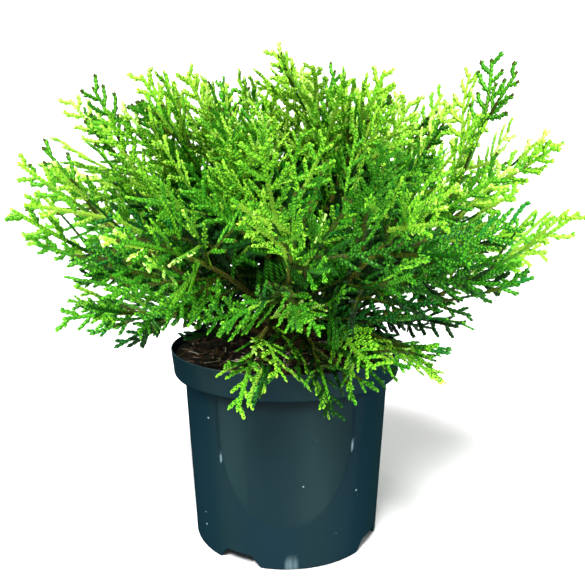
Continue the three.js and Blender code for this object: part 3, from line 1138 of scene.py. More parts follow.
@dataclass(frozen=True)
class Palette:
    """The greens of one spray: its foot, body, fine parts and tips, and the foot's share."""

    foot: Green
    body: Green
    fine: Green
    tip: Green
    foot_share: float = 0.45


def palette(names: str, foot_share: float = 0.45) -> Palette:
    """A palette by the names of its foot, body, fine parts and tips."""
    return Palette(*[Green[name] for name in names.split()], foot_share)


# Spray palettes up to a level of painted light, and in it the palette up to each limit of the draw.
DEALS = (
    (0.26, (
        (1, palette("OLIVE DEEP DEEP FOREST")),)),
    (0.42, (
        (0.3, palette("OLIVE FOREST FOREST JADE")),
        (0.55, palette("OLIVE FOREST FOREST FOREST")),
        (1, palette("OLIVE MID MID MID")))),
    (0.58, (
        (0.35, palette("OLIVE JADE JADE FRESH")),
        (0.6, palette("OLIVE MID MID FRESH")),
        (1, palette("OLIVE FRESH FRESH FRESH")))),
    (0.76, (
        (0.22, palette("OLIVE JADE JADE BRIGHT")),
        (0.75, palette("OLIVE FRESH FRESH BRIGHT")),
        (1, palette("GOLD FRESH FRESH BRIGHT")))),
    (0.98, (
        (0.12, palette("OLIVE MID FRESH OLIVE", 0.7)),
        (0.5, palette("MID BRIGHT FRESH BRIGHT")),
        (0.55, palette("MID BRIGHT BRIGHT BRIGHT")),
        (0.7, palette("GOLD BRIGHT BRIGHT BRIGHT", 0.8)),
        (1, palette("GOLD BRIGHT BRIGHT LIME", 0.8)))),
    (math.inf, (
        (0.14, palette("OLIVE FRESH FRESH OLIVE", 0.7)),
        (0.32, palette("GOLD BRIGHT BRIGHT LIME", 0.7)),
        (0.4, palette("GOLD LIME BRIGHT LIME", 0.7)),
        (0.5, palette("GOLD LIME BRIGHT YELLOW", 0.7)),
        (0.75, palette("GOLD LIME LIME YELLOW", 0.7)),
        (0.8, palette("GOLD LIME LIME PALE", 0.7)),
        (1, palette("GOLD YELLOW LIME PALE", 0.7)))),
)
# The old sprays along a bare bough, and the pinnae that are hidden in the crown, by turns.
# Their near black and deep greens are painted shade inside the crown; the old sprays' olive foot is
# the twig's own colour.
OLD_IN_PAINTED_SHADE = (palette("OLIVE NIGHT DEEP MID", 0.5), palette("OLIVE NIGHT DEEP DEEP", 0.5))
HIDDEN = (palette("DEEP DEEP DEEP FOREST"), palette("DEEP MID DEEP FOREST"))


class Foliage:
    """The masses of foliage: sprays of scaly cords along every leader."""

    LEAST_RINGS = 3
    BLUNT_END, POINT_LENGTH = 0.45, 6
    # Every fourth cord has no painted highlights.
    UNLIT_EVERY = 4
    # How a spray's painted light follows its place in the crown.
    BY_OUTWARDNESS, OUTWARD_POWER = 0.86, 1.8
    BY_HEIGHT, HIGHEST = 0.72, 1.15
    DARKER, LIGHT_SPREAD = 0.33, 0.28
    TWIG_END, TWIG_START_SCALE, TWIG_TAPER = 8, 1.9, 0.8
    TWIG_LIMITS = (0.4, 0.7)

    def __init__(self, crown: Crown, leaders: list[Leader], rule: SprayRule) -> None:
        """Keeps what the sprays grow by.

        Args:
            crown: The room that they keep to.
            leaders: The leaders that carry them.
            rule: How they leave a leader.
        """
        self.crown = crown
        self.leaders = leaders
        self.rule = rule
        self.cords = CordMaker()
        self.rib_shape = CordShape(1.8, 1.15, 1.85)
        self.pinna_shape = CordShape(1.7, 1.08, 1.75)
        self.pinnule_shape = CordShape(1.5, 0.95, 1.65)
        self.outer_shape = CordShape(2.0, 1.35, 1.65, groove=0.55, sweep=0.75)
        self.blade_shape = CordShape(3.0, 0.9, 2.3, groove=0.36, sweep=0.9)
        self.twig_shape = CordShape(1, 0.85, 2.1)
        self.cord_length = 0.0
        self.cord_count = 0

    def add_cord(
        self, target: MeshBin, rib: Rib, shape: CordShape, greens: Palette,
        foot_share: float = 0, tip_length: float = 3.4,
    ) -> None:
        """Adds the cord of a rib, with its foot and its tip in their own greens.

        Args:
            target: The bin that takes it.
            rib: The rib.
            shape: The cord's sizes.
            greens: The spray's greens.
            foot_share: How far up the foot's green goes.
            tip_length: How long the tip's green is.
        """
        rings = max(self.LEAST_RINGS, round(rib.length / shape.pitch))
        self.cord_length += rib.length
        shares = np.append(np.arange(rings) / rings, 1.0)
        places, along, across, normal = rib.stations(shares)
        left = rib.length * (1 - shares[:-1])
        taper = np.clip(self.BLUNT_END + left / self.POINT_LENGTH, 0, 1)
        tones = np.full(rings, int(greens.body))
        tones[left < tip_length] = int(greens.tip)
        tones[shares[:-1] < foot_share] = int(greens.foot)
        self.cord_count += 1
        # Three cords in four get painted highlights; every dark step gets painted shade.
        lights = LIGHTS[tones] if self.cord_count % self.UNLIT_EVERY else tones
        self.cords.add(
            target, shape, places, along, across, normal, taper, tones, SHADES[tones], lights)

    def shape_at(self, rib: Rib, usual: CordShape) -> CordShape:
        """The stout shape for a rib that ends near the crown's surface, or else the usual one."""
        outer = self.crown.outwardness(rib.knots[2:])[0] > self.rule.outer_from
        return self.outer_shape if outer else usual

    def patch_light(self, place: Array) -> float:
        """The painted light and shade of the front at a place, over the rest.

        Args:
            place: The place.

        Returns:
            The difference in light.
        """
        if place[1] > PATCH_DEPTH:
            return 0
        return sum(
            strength * math.exp(-((place[0] - x) ** 2 + (place[2] - z) ** 2) / reach**2)
            for x, z, reach, strength in PATCHES)

    def palette_for(self, leader: Leader, place: Array) -> Palette:
        """Deals a spray its greens by where it is, as painted light and shade: brighter outside and
        at the top, deep inside.

        Args:
            leader: Its leader.
            place: Where it ends.

        Returns:
            Its greens.
        """
        out = float(self.crown.outwardness(place[None])[0])
        high = min((place[2] - self.crown.soil_top) / self.crown.height, self.HIGHEST)
        light = self.BY_OUTWARDNESS * out**self.OUTWARD_POWER + self.BY_HEIGHT * high - self.DARKER
        light += (
            leader.dice.between(-self.LIGHT_SPREAD, self.LIGHT_SPREAD)
            + leader.habit.light + self.patch_light(place))
        draw = leader.dice.draw()
        deals = next(deals for limit, deals in DEALS if light < limit)
        return next(greens for limit, greens in deals if draw < limit)

    def grow_pinnae(
        self, target: MeshBin, leader: Leader, rib: Rib, greens: Palette, fullest: float,
        room: float = 0,
    ) -> float:
        """Adds the pinnae of a spray, and the pinnules of each.

        Args:
            target: The bin that takes the cords.
            leader: The spray's leader.
            rib: The spray's rib.
            greens: The spray's greens.
            fullest: The length of the longest pinna.
            room: How near the leader's tip they may pass the crown.

        Returns:
            The share of its pinnae that found room.
        """
        rule, dice = self.rule, leader.dice
        out = self.crown.outwardness(rib.knots[2:])[0]
        openness = float(smooth_step((out - rule.open_from) / rule.open_span))
        wider = rule.open_gap * self.crown.lowness(rib.knots[2]) * openness * dice.draw()
        count = max(2, round(rib.length / (rule.pinna_gap * (1 + wider))) - 1)
        first, more = rule.pinna_places
        shares = (np.arange(count) + first) / (count + more)
        places, along, across, normal = rib.stations(shares)
        sign = 1 if dice.draw() < 0.5 else -1
        held = 0
        for j, share in enumerate(shares):
            sign = -sign
            length = fullest * (1 - rule.pinna_taper * share) * dice.between(*rule.pinna_spread)
            length *= min(1.0, rule.pinna_start[0] + rule.pinna_start[1] * share)
            if length < rule.least_pinna:
                continue
            angle, bend = (
                (rule.outer_angle, rule.outer_bend) if openness > 0.5
                else (rule.pinna_angle, rule.pinna_bend))
            angle = math.radians(angle + dice.between(-rule.pinna_sway, rule.pinna_sway))
            tilt = math.radians(dice.between(-rule.pinna_tilt, rule.pinna_tilt))
            spread = math.cos(tilt) * sign * across[j] + math.sin(tilt) * normal[j]
            direction = math.cos(angle) * along[j] + math.sin(angle) * spread
            flat = sign * across[j] * math.cos(angle) - along[j] * math.sin(angle)
            droop = dice.between(0, rule.pinna_droop)
            pinna = Rib.leaving(places[j], direction, along[j], flat, length, bend, droop)
            if not self.crown.holds(pinna.knots[1:], leader, room, rule.pinna_limit):
                continue
            held += 1
            # A pinna deep in the crown is a dark blade in painted shade.
            if self.crown.hides(pinna.knots[2]):
                self.add_cord(target, pinna, self.blade_shape, HIDDEN[j % 2])
                continue
            tone = greens.fine if j % 2 else greens.body
            own = Palette(greens.body, tone, greens.fine, greens.tip)
            self.add_cord(target, pinna, self.shape_at(pinna, self.pinna_shape), own)
            self.grow_pinnules(target, leader, pinna, own, room)
        return held / count

    def grow_pinnules(
        self, target: MeshBin, leader: Leader, pinna: Rib, greens: Palette, room: float = 0
    ) -> None:
        """Adds the short pinnules along both sides of a pinna.

        Args:
            target: The bin that takes the cords.
            leader: The pinna's leader.
            pinna: The pinna.
            greens: Its greens.
            room: How near the leader's tip they may pass the crown.
        """
        rule, dice = self.rule, leader.dice
        count = int((pinna.length - rule.pinnule_room) / rule.pinnule_gap)
        if count < 1:
            return
        outer = self.crown.outwardness(pinna.knots[2:])[0] > rule.outer_from
        first, more = rule.pinnule_places
        shares = (np.arange(count) + first) / (count + more)
        places, along, across, _ = pinna.stations(shares)
        sign = 1 if dice.draw() < 0.5 else -1
        for j, share in enumerate(shares):
            sign = -sign
            length = rule.pinnule_share * pinna.length
            length *= rule.pinnule_taper[0] - rule.pinnule_taper[1] * share
            length *= dice.between(*rule.pinnule_spread)
            if outer:
                length = max(length, rule.outer_pinnule * dice.between(*rule.outer_spread))
            if length < rule.least_pinnule:
                continue
            length = min(length, rule.pinnule_longest)
            sway = dice.between(-rule.pinnule_sway, rule.pinnule_sway)
            angle = math.radians(rule.pinnule_angle + sway)
            direction = math.cos(angle) * along[j] + math.sin(angle) * sign * across[j]
            flat = sign * across[j] * math.cos(angle) - along[j] * math.sin(angle)
            pinnule = Rib.leaving(
                places[j], direction, along[j], flat, length, rule.pinnule_bend, rule.pinnule_droop)
            if self.crown.holds(pinnule.knots[2:], leader, room, rule.pinnule_limit):
                own = Palette(greens.fine, greens.fine, greens.fine, greens.tip)
                self.add_cord(target, pinnule, self.pinnule_shape, own, 0, rule.pinnule_tip)

    def flat_for(self, place: Array, heading: Array, along: Array) -> Array:
        """The direction that a spray's flat side holds, so that its face turns outwards.

        Args:
            place: Where the spray leaves its shoot.
            heading: The spray's direction.
            along: The shoot's direction there.

        Returns:
            The direction across the spray.
        """
        outward = unit(place - (self.crown.soil_top + self.crown.middle) * UP)
        across = np.cross(outward, heading)
        across *= 1 if across @ along > 0 else -1
        share = self.rule.facing
        length = max(float(np.linalg.norm(across)), self.rule.least_across)
        return unit((1 - share) * along + share * across / length)

    def grow_side_sprays(
        self, target: MeshBin, leader: Leader, shoot: Shoot, start: float, end: float
    ) -> None:
        """Adds the sprays along a shoot, each as long as the crown lets it be.

        Args:
            target: The bin that takes them.
            leader: Their leader.
            shoot: The shoot.
            start: How far along it they begin.
            end: How far along it they end.
        """
        rule, dice = self.rule, leader.dice
        count = max(2, round((end - start) / rule.spacing))
        shares = (np.arange(count) + rule.first_place) / count
        distances = start + (end - start) * shares
        places, along, side, upper = shoot.frames(distances)
        for k, share in enumerate(shares):
            turn = shoot.first_turn + math.radians(
                (180 + shoot.turn) * k + rule.jitter * (2 * dice.draw() - 1))
            angle = math.radians(rule.angle_low + (rule.angle_high - rule.angle_low) * share)
            free = rule.length * dice.between(*rule.length_spread) * (1 - rule.taper * share)
            full = min(free, shoot.length - distances[k])
            heading = (
                along[k] * math.cos(angle)
                + side[k] * math.sin(angle) * math.cos(turn)
                + upper[k] * math.sin(angle) * math.sin(turn)
            )
            droop = rule.droop * dice.between(*rule.droop_spread)
            if dice.draw() < self.crown.sparseness(places[k]):
                continue
            flat = self.flat_for(places[k], heading, along[k])
            for scale in rule.scales:
                rib = Rib.leaving(
                    places[k], heading, along[k], flat, scale * full, rule.forward, droop)
                if self.crown.holds(rib.knots[1:], leader):
                    self.add_spray(target, leader, rib, rule.pinna_share)
                    break

    def add_spray(
        self, target: MeshBin, leader: Leader, rib: Rib, fan: float,
        bare: float = 0, room: float = 0,
    ) -> None:
        """Adds one whole spray, unless too few of its pinnae find room.

        Args:
            target: The bin that takes it.
            leader: Its leader.
            rib: Its rib.
            fan: The longest pinna as a share of the rib.
            bare: How much less of the rib than usual is in the foot's green.
            room: How near the leader's tip it may pass the crown.
        """
        greens = self.palette_for(leader, rib.knots[2])
        spray = MeshBin()
        shape = self.shape_at(rib, self.rib_shape)
        self.add_cord(spray, rib, shape, greens, greens.foot_share - bare)
        held = self.grow_pinnae(spray, leader, rib, greens, fan * rib.length, room)
        if held > self.rule.least_held:
            target.take(spray)

    def grow_inner_sprays(self, target: MeshBin, leader: Leader, end: float) -> None:
        """Adds the short old sprays that shade the bare bough.

        Args:
            target: The bin that takes them.
            leader: The leader.
            end: How far along it the bare bough goes.
        """
        rule, dice = self.rule, leader.dice
        distances = np.arange(rule.inner_start, end, rule.inner_gap)
        places, along, side, upper = leader.frames(distances)
        for k, share in enumerate(distances / end):
            turn = math.radians(GOLDEN_TURN * k + 360 * dice.draw())
            spread = math.cos(turn) * side[k] + math.sin(turn) * upper[k]
            heading = rule.inner_heading[0] * along[k] + rule.inner_heading[1] * spread
            full = rule.inner_length[0] + share * rule.inner_length[1]
            full *= dice.between(*rule.inner_spread)
            for scale in rule.scales:
                rib = Rib.leaving(
                    places[k], heading, along[k], along[k], scale * full, rule.inner_bend,
                    rule.inner_droop)
                if self.crown.holds(rib.knots[1:], leader):
                    # Deep greens as painted shade inside the crown, over an olive foot.
                    old = OLD_IN_PAINTED_SHADE[0] if dice.draw() < rule.inner_fresh else OLD_IN_PAINTED_SHADE[1]
                    self.add_cord(target, rib, self.rib_shape, old, old.foot_share)
                    self.grow_pinnae(target, leader, rib, old, rule.inner_fan * rib.length)
                    break

    def grow_tip_spray(
        self, target: MeshBin, leader: Leader, shoot: Shoot, start: float, fan: float,
        flat_turn: float = 90,
    ) -> None:
        """Adds the spray that ends a shoot, which is the shoot's own last stretch.

        Args:
            target: The bin that takes it.
            leader: Its leader.
            shoot: The shoot.
            start: How far along the shoot it begins.
            fan: The longest pinna as a share of its length.
            flat_turn: The direction round the shoot that it lies in, in degrees.
        """
        sway = leader.dice.between(-self.rule.tip_sway, self.rule.tip_sway)
        turn = math.radians(flat_turn) + sway
        distances = np.array([start, (start + shoot.length) / 2, shoot.length])
        places, _, side, upper = shoot.frames(distances)
        flat = side[0] * math.cos(turn) + upper[0] * math.sin(turn)
        middle = 2 * places[1] - (places[0] + places[2]) / 2
        rib = Rib(np.array([places[0], middle, places[2]]), flat, shoot.length - start)
        self.add_spray(target, leader, rib, fan, self.rule.tip_foot, self.crown.tip_room)

    def grow(self, leader: Leader) -> MeshBin:
        """Grows all sprays of one leader.

        Args:
            leader: The leader.

        Returns:
            The bin with its cords.
        """
        target, habit = MeshBin(), leader.habit
        start = BOUGH_SHARE * leader.length
        end = leader.length - self.rule.tip_length
        self.grow_side_sprays(target, leader, leader, start, end)
        self.grow_inner_sprays(target, leader, start)
        self.grow_tip_spray(target, leader, leader, end, habit.fan, habit.flat_turn)
        if leader.tip[2] > self.crown.soil_top:
            self.grow_forks(target, leader)
        for share, turn, angle, scale, fan, flat_turn in habit.forks:
            length = scale * leader.length * (1 - share)
            fork = leader.branch(share, math.radians(turn), math.radians(angle), length)
            if self.crown.holds(fork.knots[1:], leader, self.crown.tip_room, self.rule.pinna_limit):
                self.grow_tip_spray(target, leader, fork, 0, fan, flat_turn)
        self.grow_shoots(target, leader)
        return target

    def grow_forks(self, target: MeshBin, leader: Leader) -> None:
        """Adds the forks near a leader's end, each a spray of its own.

        Args:
            target: The bin that takes them.
            leader: The leader.
        """
        rule, habit = self.rule, leader.habit
        for number, share in enumerate(rule.fork_shares):
            turn = leader.first_turn + math.radians(GOLDEN_TURN * number + rule.fork_turn)
            angle = math.radians(leader.dice.between(*rule.fork_angle))
            full = leader.length * (1 - share)
            for scale in rule.fork_scales:
                fork = leader.branch(share, turn, angle, scale * full)
                if self.crown.holds(fork.knots[1:], leader, self.crown.fork_room):
                    self.grow_tip_spray(target, leader, fork, 0, rule.tip_fan, habit.flat_turn)
                    break

    def grow_shoots(self, target: MeshBin, leader: Leader) -> None:
        """Adds the side shoots of a leader, with their own sprays and twigs.

        Args:
            target: The bin that takes them.
            leader: The leader.
        """
        rule = self.rule
        for number, share in enumerate(rule.shoot_shares):
            turn = leader.first_turn + math.radians(GOLDEN_TURN * number + rule.shoot_turn)
            angle = math.radians(leader.dice.between(*rule.shoot_angle))
            full = leader.length * (1 - share) * leader.dice.between(*rule.shoot_length)
            for scale in rule.shoot_scales:
                shoot = leader.branch(share, turn, angle, scale * full)
                if self.crown.holds(shoot.knots[1:], leader):
                    start = rule.shoot_start * shoot.length
                    end = shoot.length - min(rule.tip_length, rule.shoot_tip * shoot.length)
                    self.grow_side_sprays(target, leader, shoot, start, end)
                    self.grow_tip_spray(target, leader, shoot, end, rule.tip_fan)
                    self.twig(target, shoot)
                    break

    def twig(self, target: MeshBin, shoot: Shoot) -> None:
        """Adds the twig of a side shoot as a stout cord of scale leaves.

        Args:
            target: The bin that takes it.
            shoot: The side shoot.
        """
        length = shoot.length - self.TWIG_END
        rings = round(length / self.twig_shape.pitch)
        frames = shoot.frames(np.linspace(0, length, rings + 1))
        share = np.linspace(0, 1, rings)
        taper = self.TWIG_START_SCALE - self.TWIG_TAPER * share
        greens = np.array([Green.OLIVE, Green.MID, Green.FRESH], int)
        tones = greens[np.searchsorted(self.TWIG_LIMITS, share, "right")]
        # The dark steps are painted shade in the deep green.
        shades = np.full(rings, int(Green.DEEP))
        self.cords.add(target, self.twig_shape, *frames, taper, tones, shades, tones)

    def build(self, materials: list[Material]) -> None:
        """Grows every leader's mass, joins them into a few pieces and reports them.

        Args:
            materials: The greens in their order.
        """
        groups: list[tuple[list[str], MeshBin]] = []
        for leader in self.leaders:
            grown = self.grow(leader)
            if not groups or groups[-1][1].faces + grown.faces > MOST_TRIANGLES:
                groups.append(([], MeshBin()))
            names, joined = groups[-1]
            names.append(f"foliage_{leader.name}")
            joined.take(grown)
        for number, (names, joined) in enumerate(groups, 1):
            piece = joined.to_object(f"sprays_{number}", materials, False)
            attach(piece, BODY)
            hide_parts(*names)
            LOG.info("%s stands for %d masses", piece.name, len(names))
        LOG.info("cords: %.1f m", self.cord_length * MM)


@dataclass
class WoodyFrame:
    """The stem, the bare boughs and the scaly twigs that the sprays grow from."""

    leaders: list[Leader]
    soil_top: float
    gap: float = 0.3
    bough_base_radius: float = 2.5
    bough_tip_radius: float = 2.0
    bough_sides: int = 12
    bough_step: float = 1.6
    bough_waves: tuple[Triple, ...] = ((0.07, 3, 0.35), (0.05, 5, -0.6))
    twig_shape: CordShape = CordShape(1, 1, 2.1, sides=6, groove=0.78, sweep=0.4)
    twig_radii: Pair = (2.35, 1.15)
    twig_overlap: float = 1
    twig_end: float = 10
    twig_limits: Triple = (0.42, 0.62, 0.78)
    stem_profile: tuple[Pair, ...] = (
        (15, 0), (12, 2), (10.8, 6), (10, 12), (9.4, 19), (7.5, 24), (4.5, 27))
    stem_lean: float = 1.5
    stem_sides: int = 72
    stem_rings: int = 44
    stem_waves: tuple[Triple, ...] = ((0.03, 17, 0.25), (0.022, 31, -0.4), (0.02, 5, 0.9))
    root_count: int = 7
    root_flare: float = 0.12
    root_fade: float = 3

    def relief(
        self, rows: Array, turn: Array, waves: tuple[Triple, ...], phase: float = 0
    ) -> Array:
        """The relief round a limb as a sum of twisted waves.

        Args:
            rows: The distances along the limb.
            turn: The directions round it.
            waves: Height, count and twist of each wave.
            phase: How far the first wave is turned.

        Returns:
            The height as a share of the radius, a row for each distance.
        """
        total = np.zeros((len(rows), len(turn)))
        for height, count, twist in waves:
            total += height * np.sin(count * turn + twist * rows[:, None] + phase)
            phase = 0
        return total

    def stem(self, target: MeshBin) -> None:
        """Adds the stem: a root flare, a fibrous trunk and its domed fork.

        Args:
            target: The bin that takes it.
        """
        radii, heights = np.array(self.stem_profile, float).T
        rows = np.linspace(0, heights[-1], self.stem_rings)
        radius = np.interp(rows, heights, radii)[:, None]
        turn = ring_turns(self.stem_sides)
        flare = self.root_flare * np.exp(-rows / self.root_fade)[:, None]
        flare = flare * np.sin(self.root_count * turn / 2) ** 2
        reach = radius * (1 + flare + self.relief(rows, turn, self.stem_waves))
        lean = self.stem_lean * rows / heights[-1]
        points = np.stack([
            reach * np.cos(turn) + lean[:, None],
            reach * np.sin(turn),
            np.broadcast_to((self.soil_top + self.gap + rows)[:, None], reach.shape),
        ], axis=-1)
        target.add(*closed_rows(points), 0)

    def bough(self, target: MeshBin, leader: Leader) -> None:
        """Adds the bare first stretch of a leader as a tapering limb with bark strips.

        Args:
            target: The bin that takes it.
            leader: The leader.
        """
        end = BOUGH_SHARE * leader.length
        rings = max(8, round(end / self.bough_step))
        distances = np.linspace(0, end, rings)
        places, _, side, upper = leader.frames(distances)
        turn = ring_turns(self.bough_sides)
        radius = np.linspace(self.bough_base_radius, self.bough_tip_radius, rings)[:, None]
        phase = leader.dice.between(0, 6)
        reach = radius * (1 + self.relief(distances, turn, self.bough_waves, phase))
        points = (
            places[:, None]
            + (reach * np.cos(turn))[..., None] * side[:, None]
            + (reach * np.sin(turn))[..., None] * upper[:, None]
        )
        target.add(*closed_rows(points), 0)

    def twig(self, target: MeshBin, cords: CordMaker, leader: Leader) -> None:
        """Adds the rest of a leader as a stout scaly cord, brown low down and green above.

        Args:
            target: The bin that takes it.
            cords: The maker of cords.
            leader: The leader.
        """
        start, end = BOUGH_SHARE * leader.length, leader.length - self.twig_end
        rings = round((end - start) / self.twig_shape.pitch)
        frames = leader.frames(np.linspace(start - self.twig_overlap, end, rings + 1))
        share = np.linspace(0, 1, rings)
        taper = self.twig_radii[0] + (self.twig_radii[1] - self.twig_radii[0]) * share
        tones = np.searchsorted(self.twig_limits, share) + 1
        # The dark steps take the next deeper tone as painted shade.
        cords.add(target, self.twig_shape, *frames, taper, tones, tones - 1, tones)

    def build(self, bark: Material, twig_materials: list[Material]) -> None:
        """Makes the bark piece and the twig piece.

        Args:
            bark: The bark's material.
            twig_materials: The twigs' materials, from the foot up.
        """
        limbs, twigs, cords = MeshBin(), MeshBin(), CordMaker()
        self.stem(limbs)
        for leader in self.leaders:
            self.bough(limbs, leader)
            self.twig(twigs, cords, leader)
        piece = limbs.to_object("bark_of_stem_and_boughs", [bark], True)
        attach(piece, BODY)
        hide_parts("stem", *[f"bough_{leader.name}" for leader in self.leaders])
        twig_piece = twigs.to_object("scaly_twigs", twig_materials, False)
        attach(twig_piece, BODY)


def closed_rows(points: Array) -> tuple[Array, Array]:
    """A closed body from rows of rings, with a middle point at each end.

    Args:
        points: Rings by points by three coordinates.

    Returns:
        Its points and its triangles.
    """
    rings, sides = points.shape[:2]
    grid = np.arange(rings * sides).reshape(rings, sides)
    a, b = grid[:-1], np.roll(grid, -1, axis=1)[:-1]
    c, d = np.roll(grid, -1, axis=1)[1:], grid[1:]
    walls = np.concatenate([
        np.stack([a, b, c], axis=-1).reshape(-1, 3), np.stack([a, c, d], axis=-1).reshape(-1, 3)])
    foot, head = rings * sides, rings * sides + 1
    first, last = grid[0], grid[-1]
    caps = np.concatenate([
        np.stack([np.full(sides, foot), np.roll(first, -1), first], axis=-1),
        np.stack([np.full(sides, head), last, np.roll(last, -1)], axis=-1)])
    middles = np.stack([points[0].mean(axis=0), points[-1].mean(axis=0)])
    return np.vstack([points.reshape(-1, 3), middles]), np.concatenate([walls, caps])


def rounded_line(corners: list[Row], step: float, arc_stretches: int = 4) -> Array:
    """A line through corners that are rounded, cut into short stretches.

    Args:
        corners: Radius, height and rounding of each corner, and the longest stretch before it if
            not the step.
        step: The longest stretch elsewhere.
        arc_stretches: How many stretches a rounding has.

    Returns:
        Rows of a radius and a height.
    """
    points: list[Array] = []
    steps: list[float] = []
    for k, (radius, height, rounding, *own_step) in enumerate(corners):
        here = np.array([radius, height])
        steps += own_step or [step]
        if k in (0, len(corners) - 1) or rounding == 0:
            points.append(here)
            continue
        steps += [step] * arc_stretches
        back = unit(np.array(corners[k - 1][:2]) - here)
        ahead = unit(np.array(corners[k + 1][:2]) - here)
        for share in np.linspace(0, 1, arc_stretches + 1):
            points.append(here + rounding * ((1 - share) ** 2 * back + share**2 * ahead))
    line = [points[0]]
    for point, longest in zip(points[1:], steps[1:], strict=True):
        pieces = max(1, math.ceil(np.linalg.norm(point - line[-1]) / longest))
        start = line[-1]
        line += [start + (point - start) * k / pieces for k in range(1, pieces + 1)]
    return np.array(line)


def smooth_step(values: Array) -> Array:
    """An even rise from 0 to 1 as values go from 0 to 1."""
    held = np.clip(values, 0, 1)
    return held * held * (3 - 2 * held)


def turns_off(turn: Array, angle: float, period: float = 2 * np.pi) -> Array:
    """How far directions are from an angle in degrees, which comes again after each period."""
    return np.abs((turn - math.radians(angle) + period / 2) % period - period / 2)


def ring_turns(count: int) -> Array:
    """The directions of evenly spread points round a ring."""
    return 2 * np.pi * np.arange(count) / count


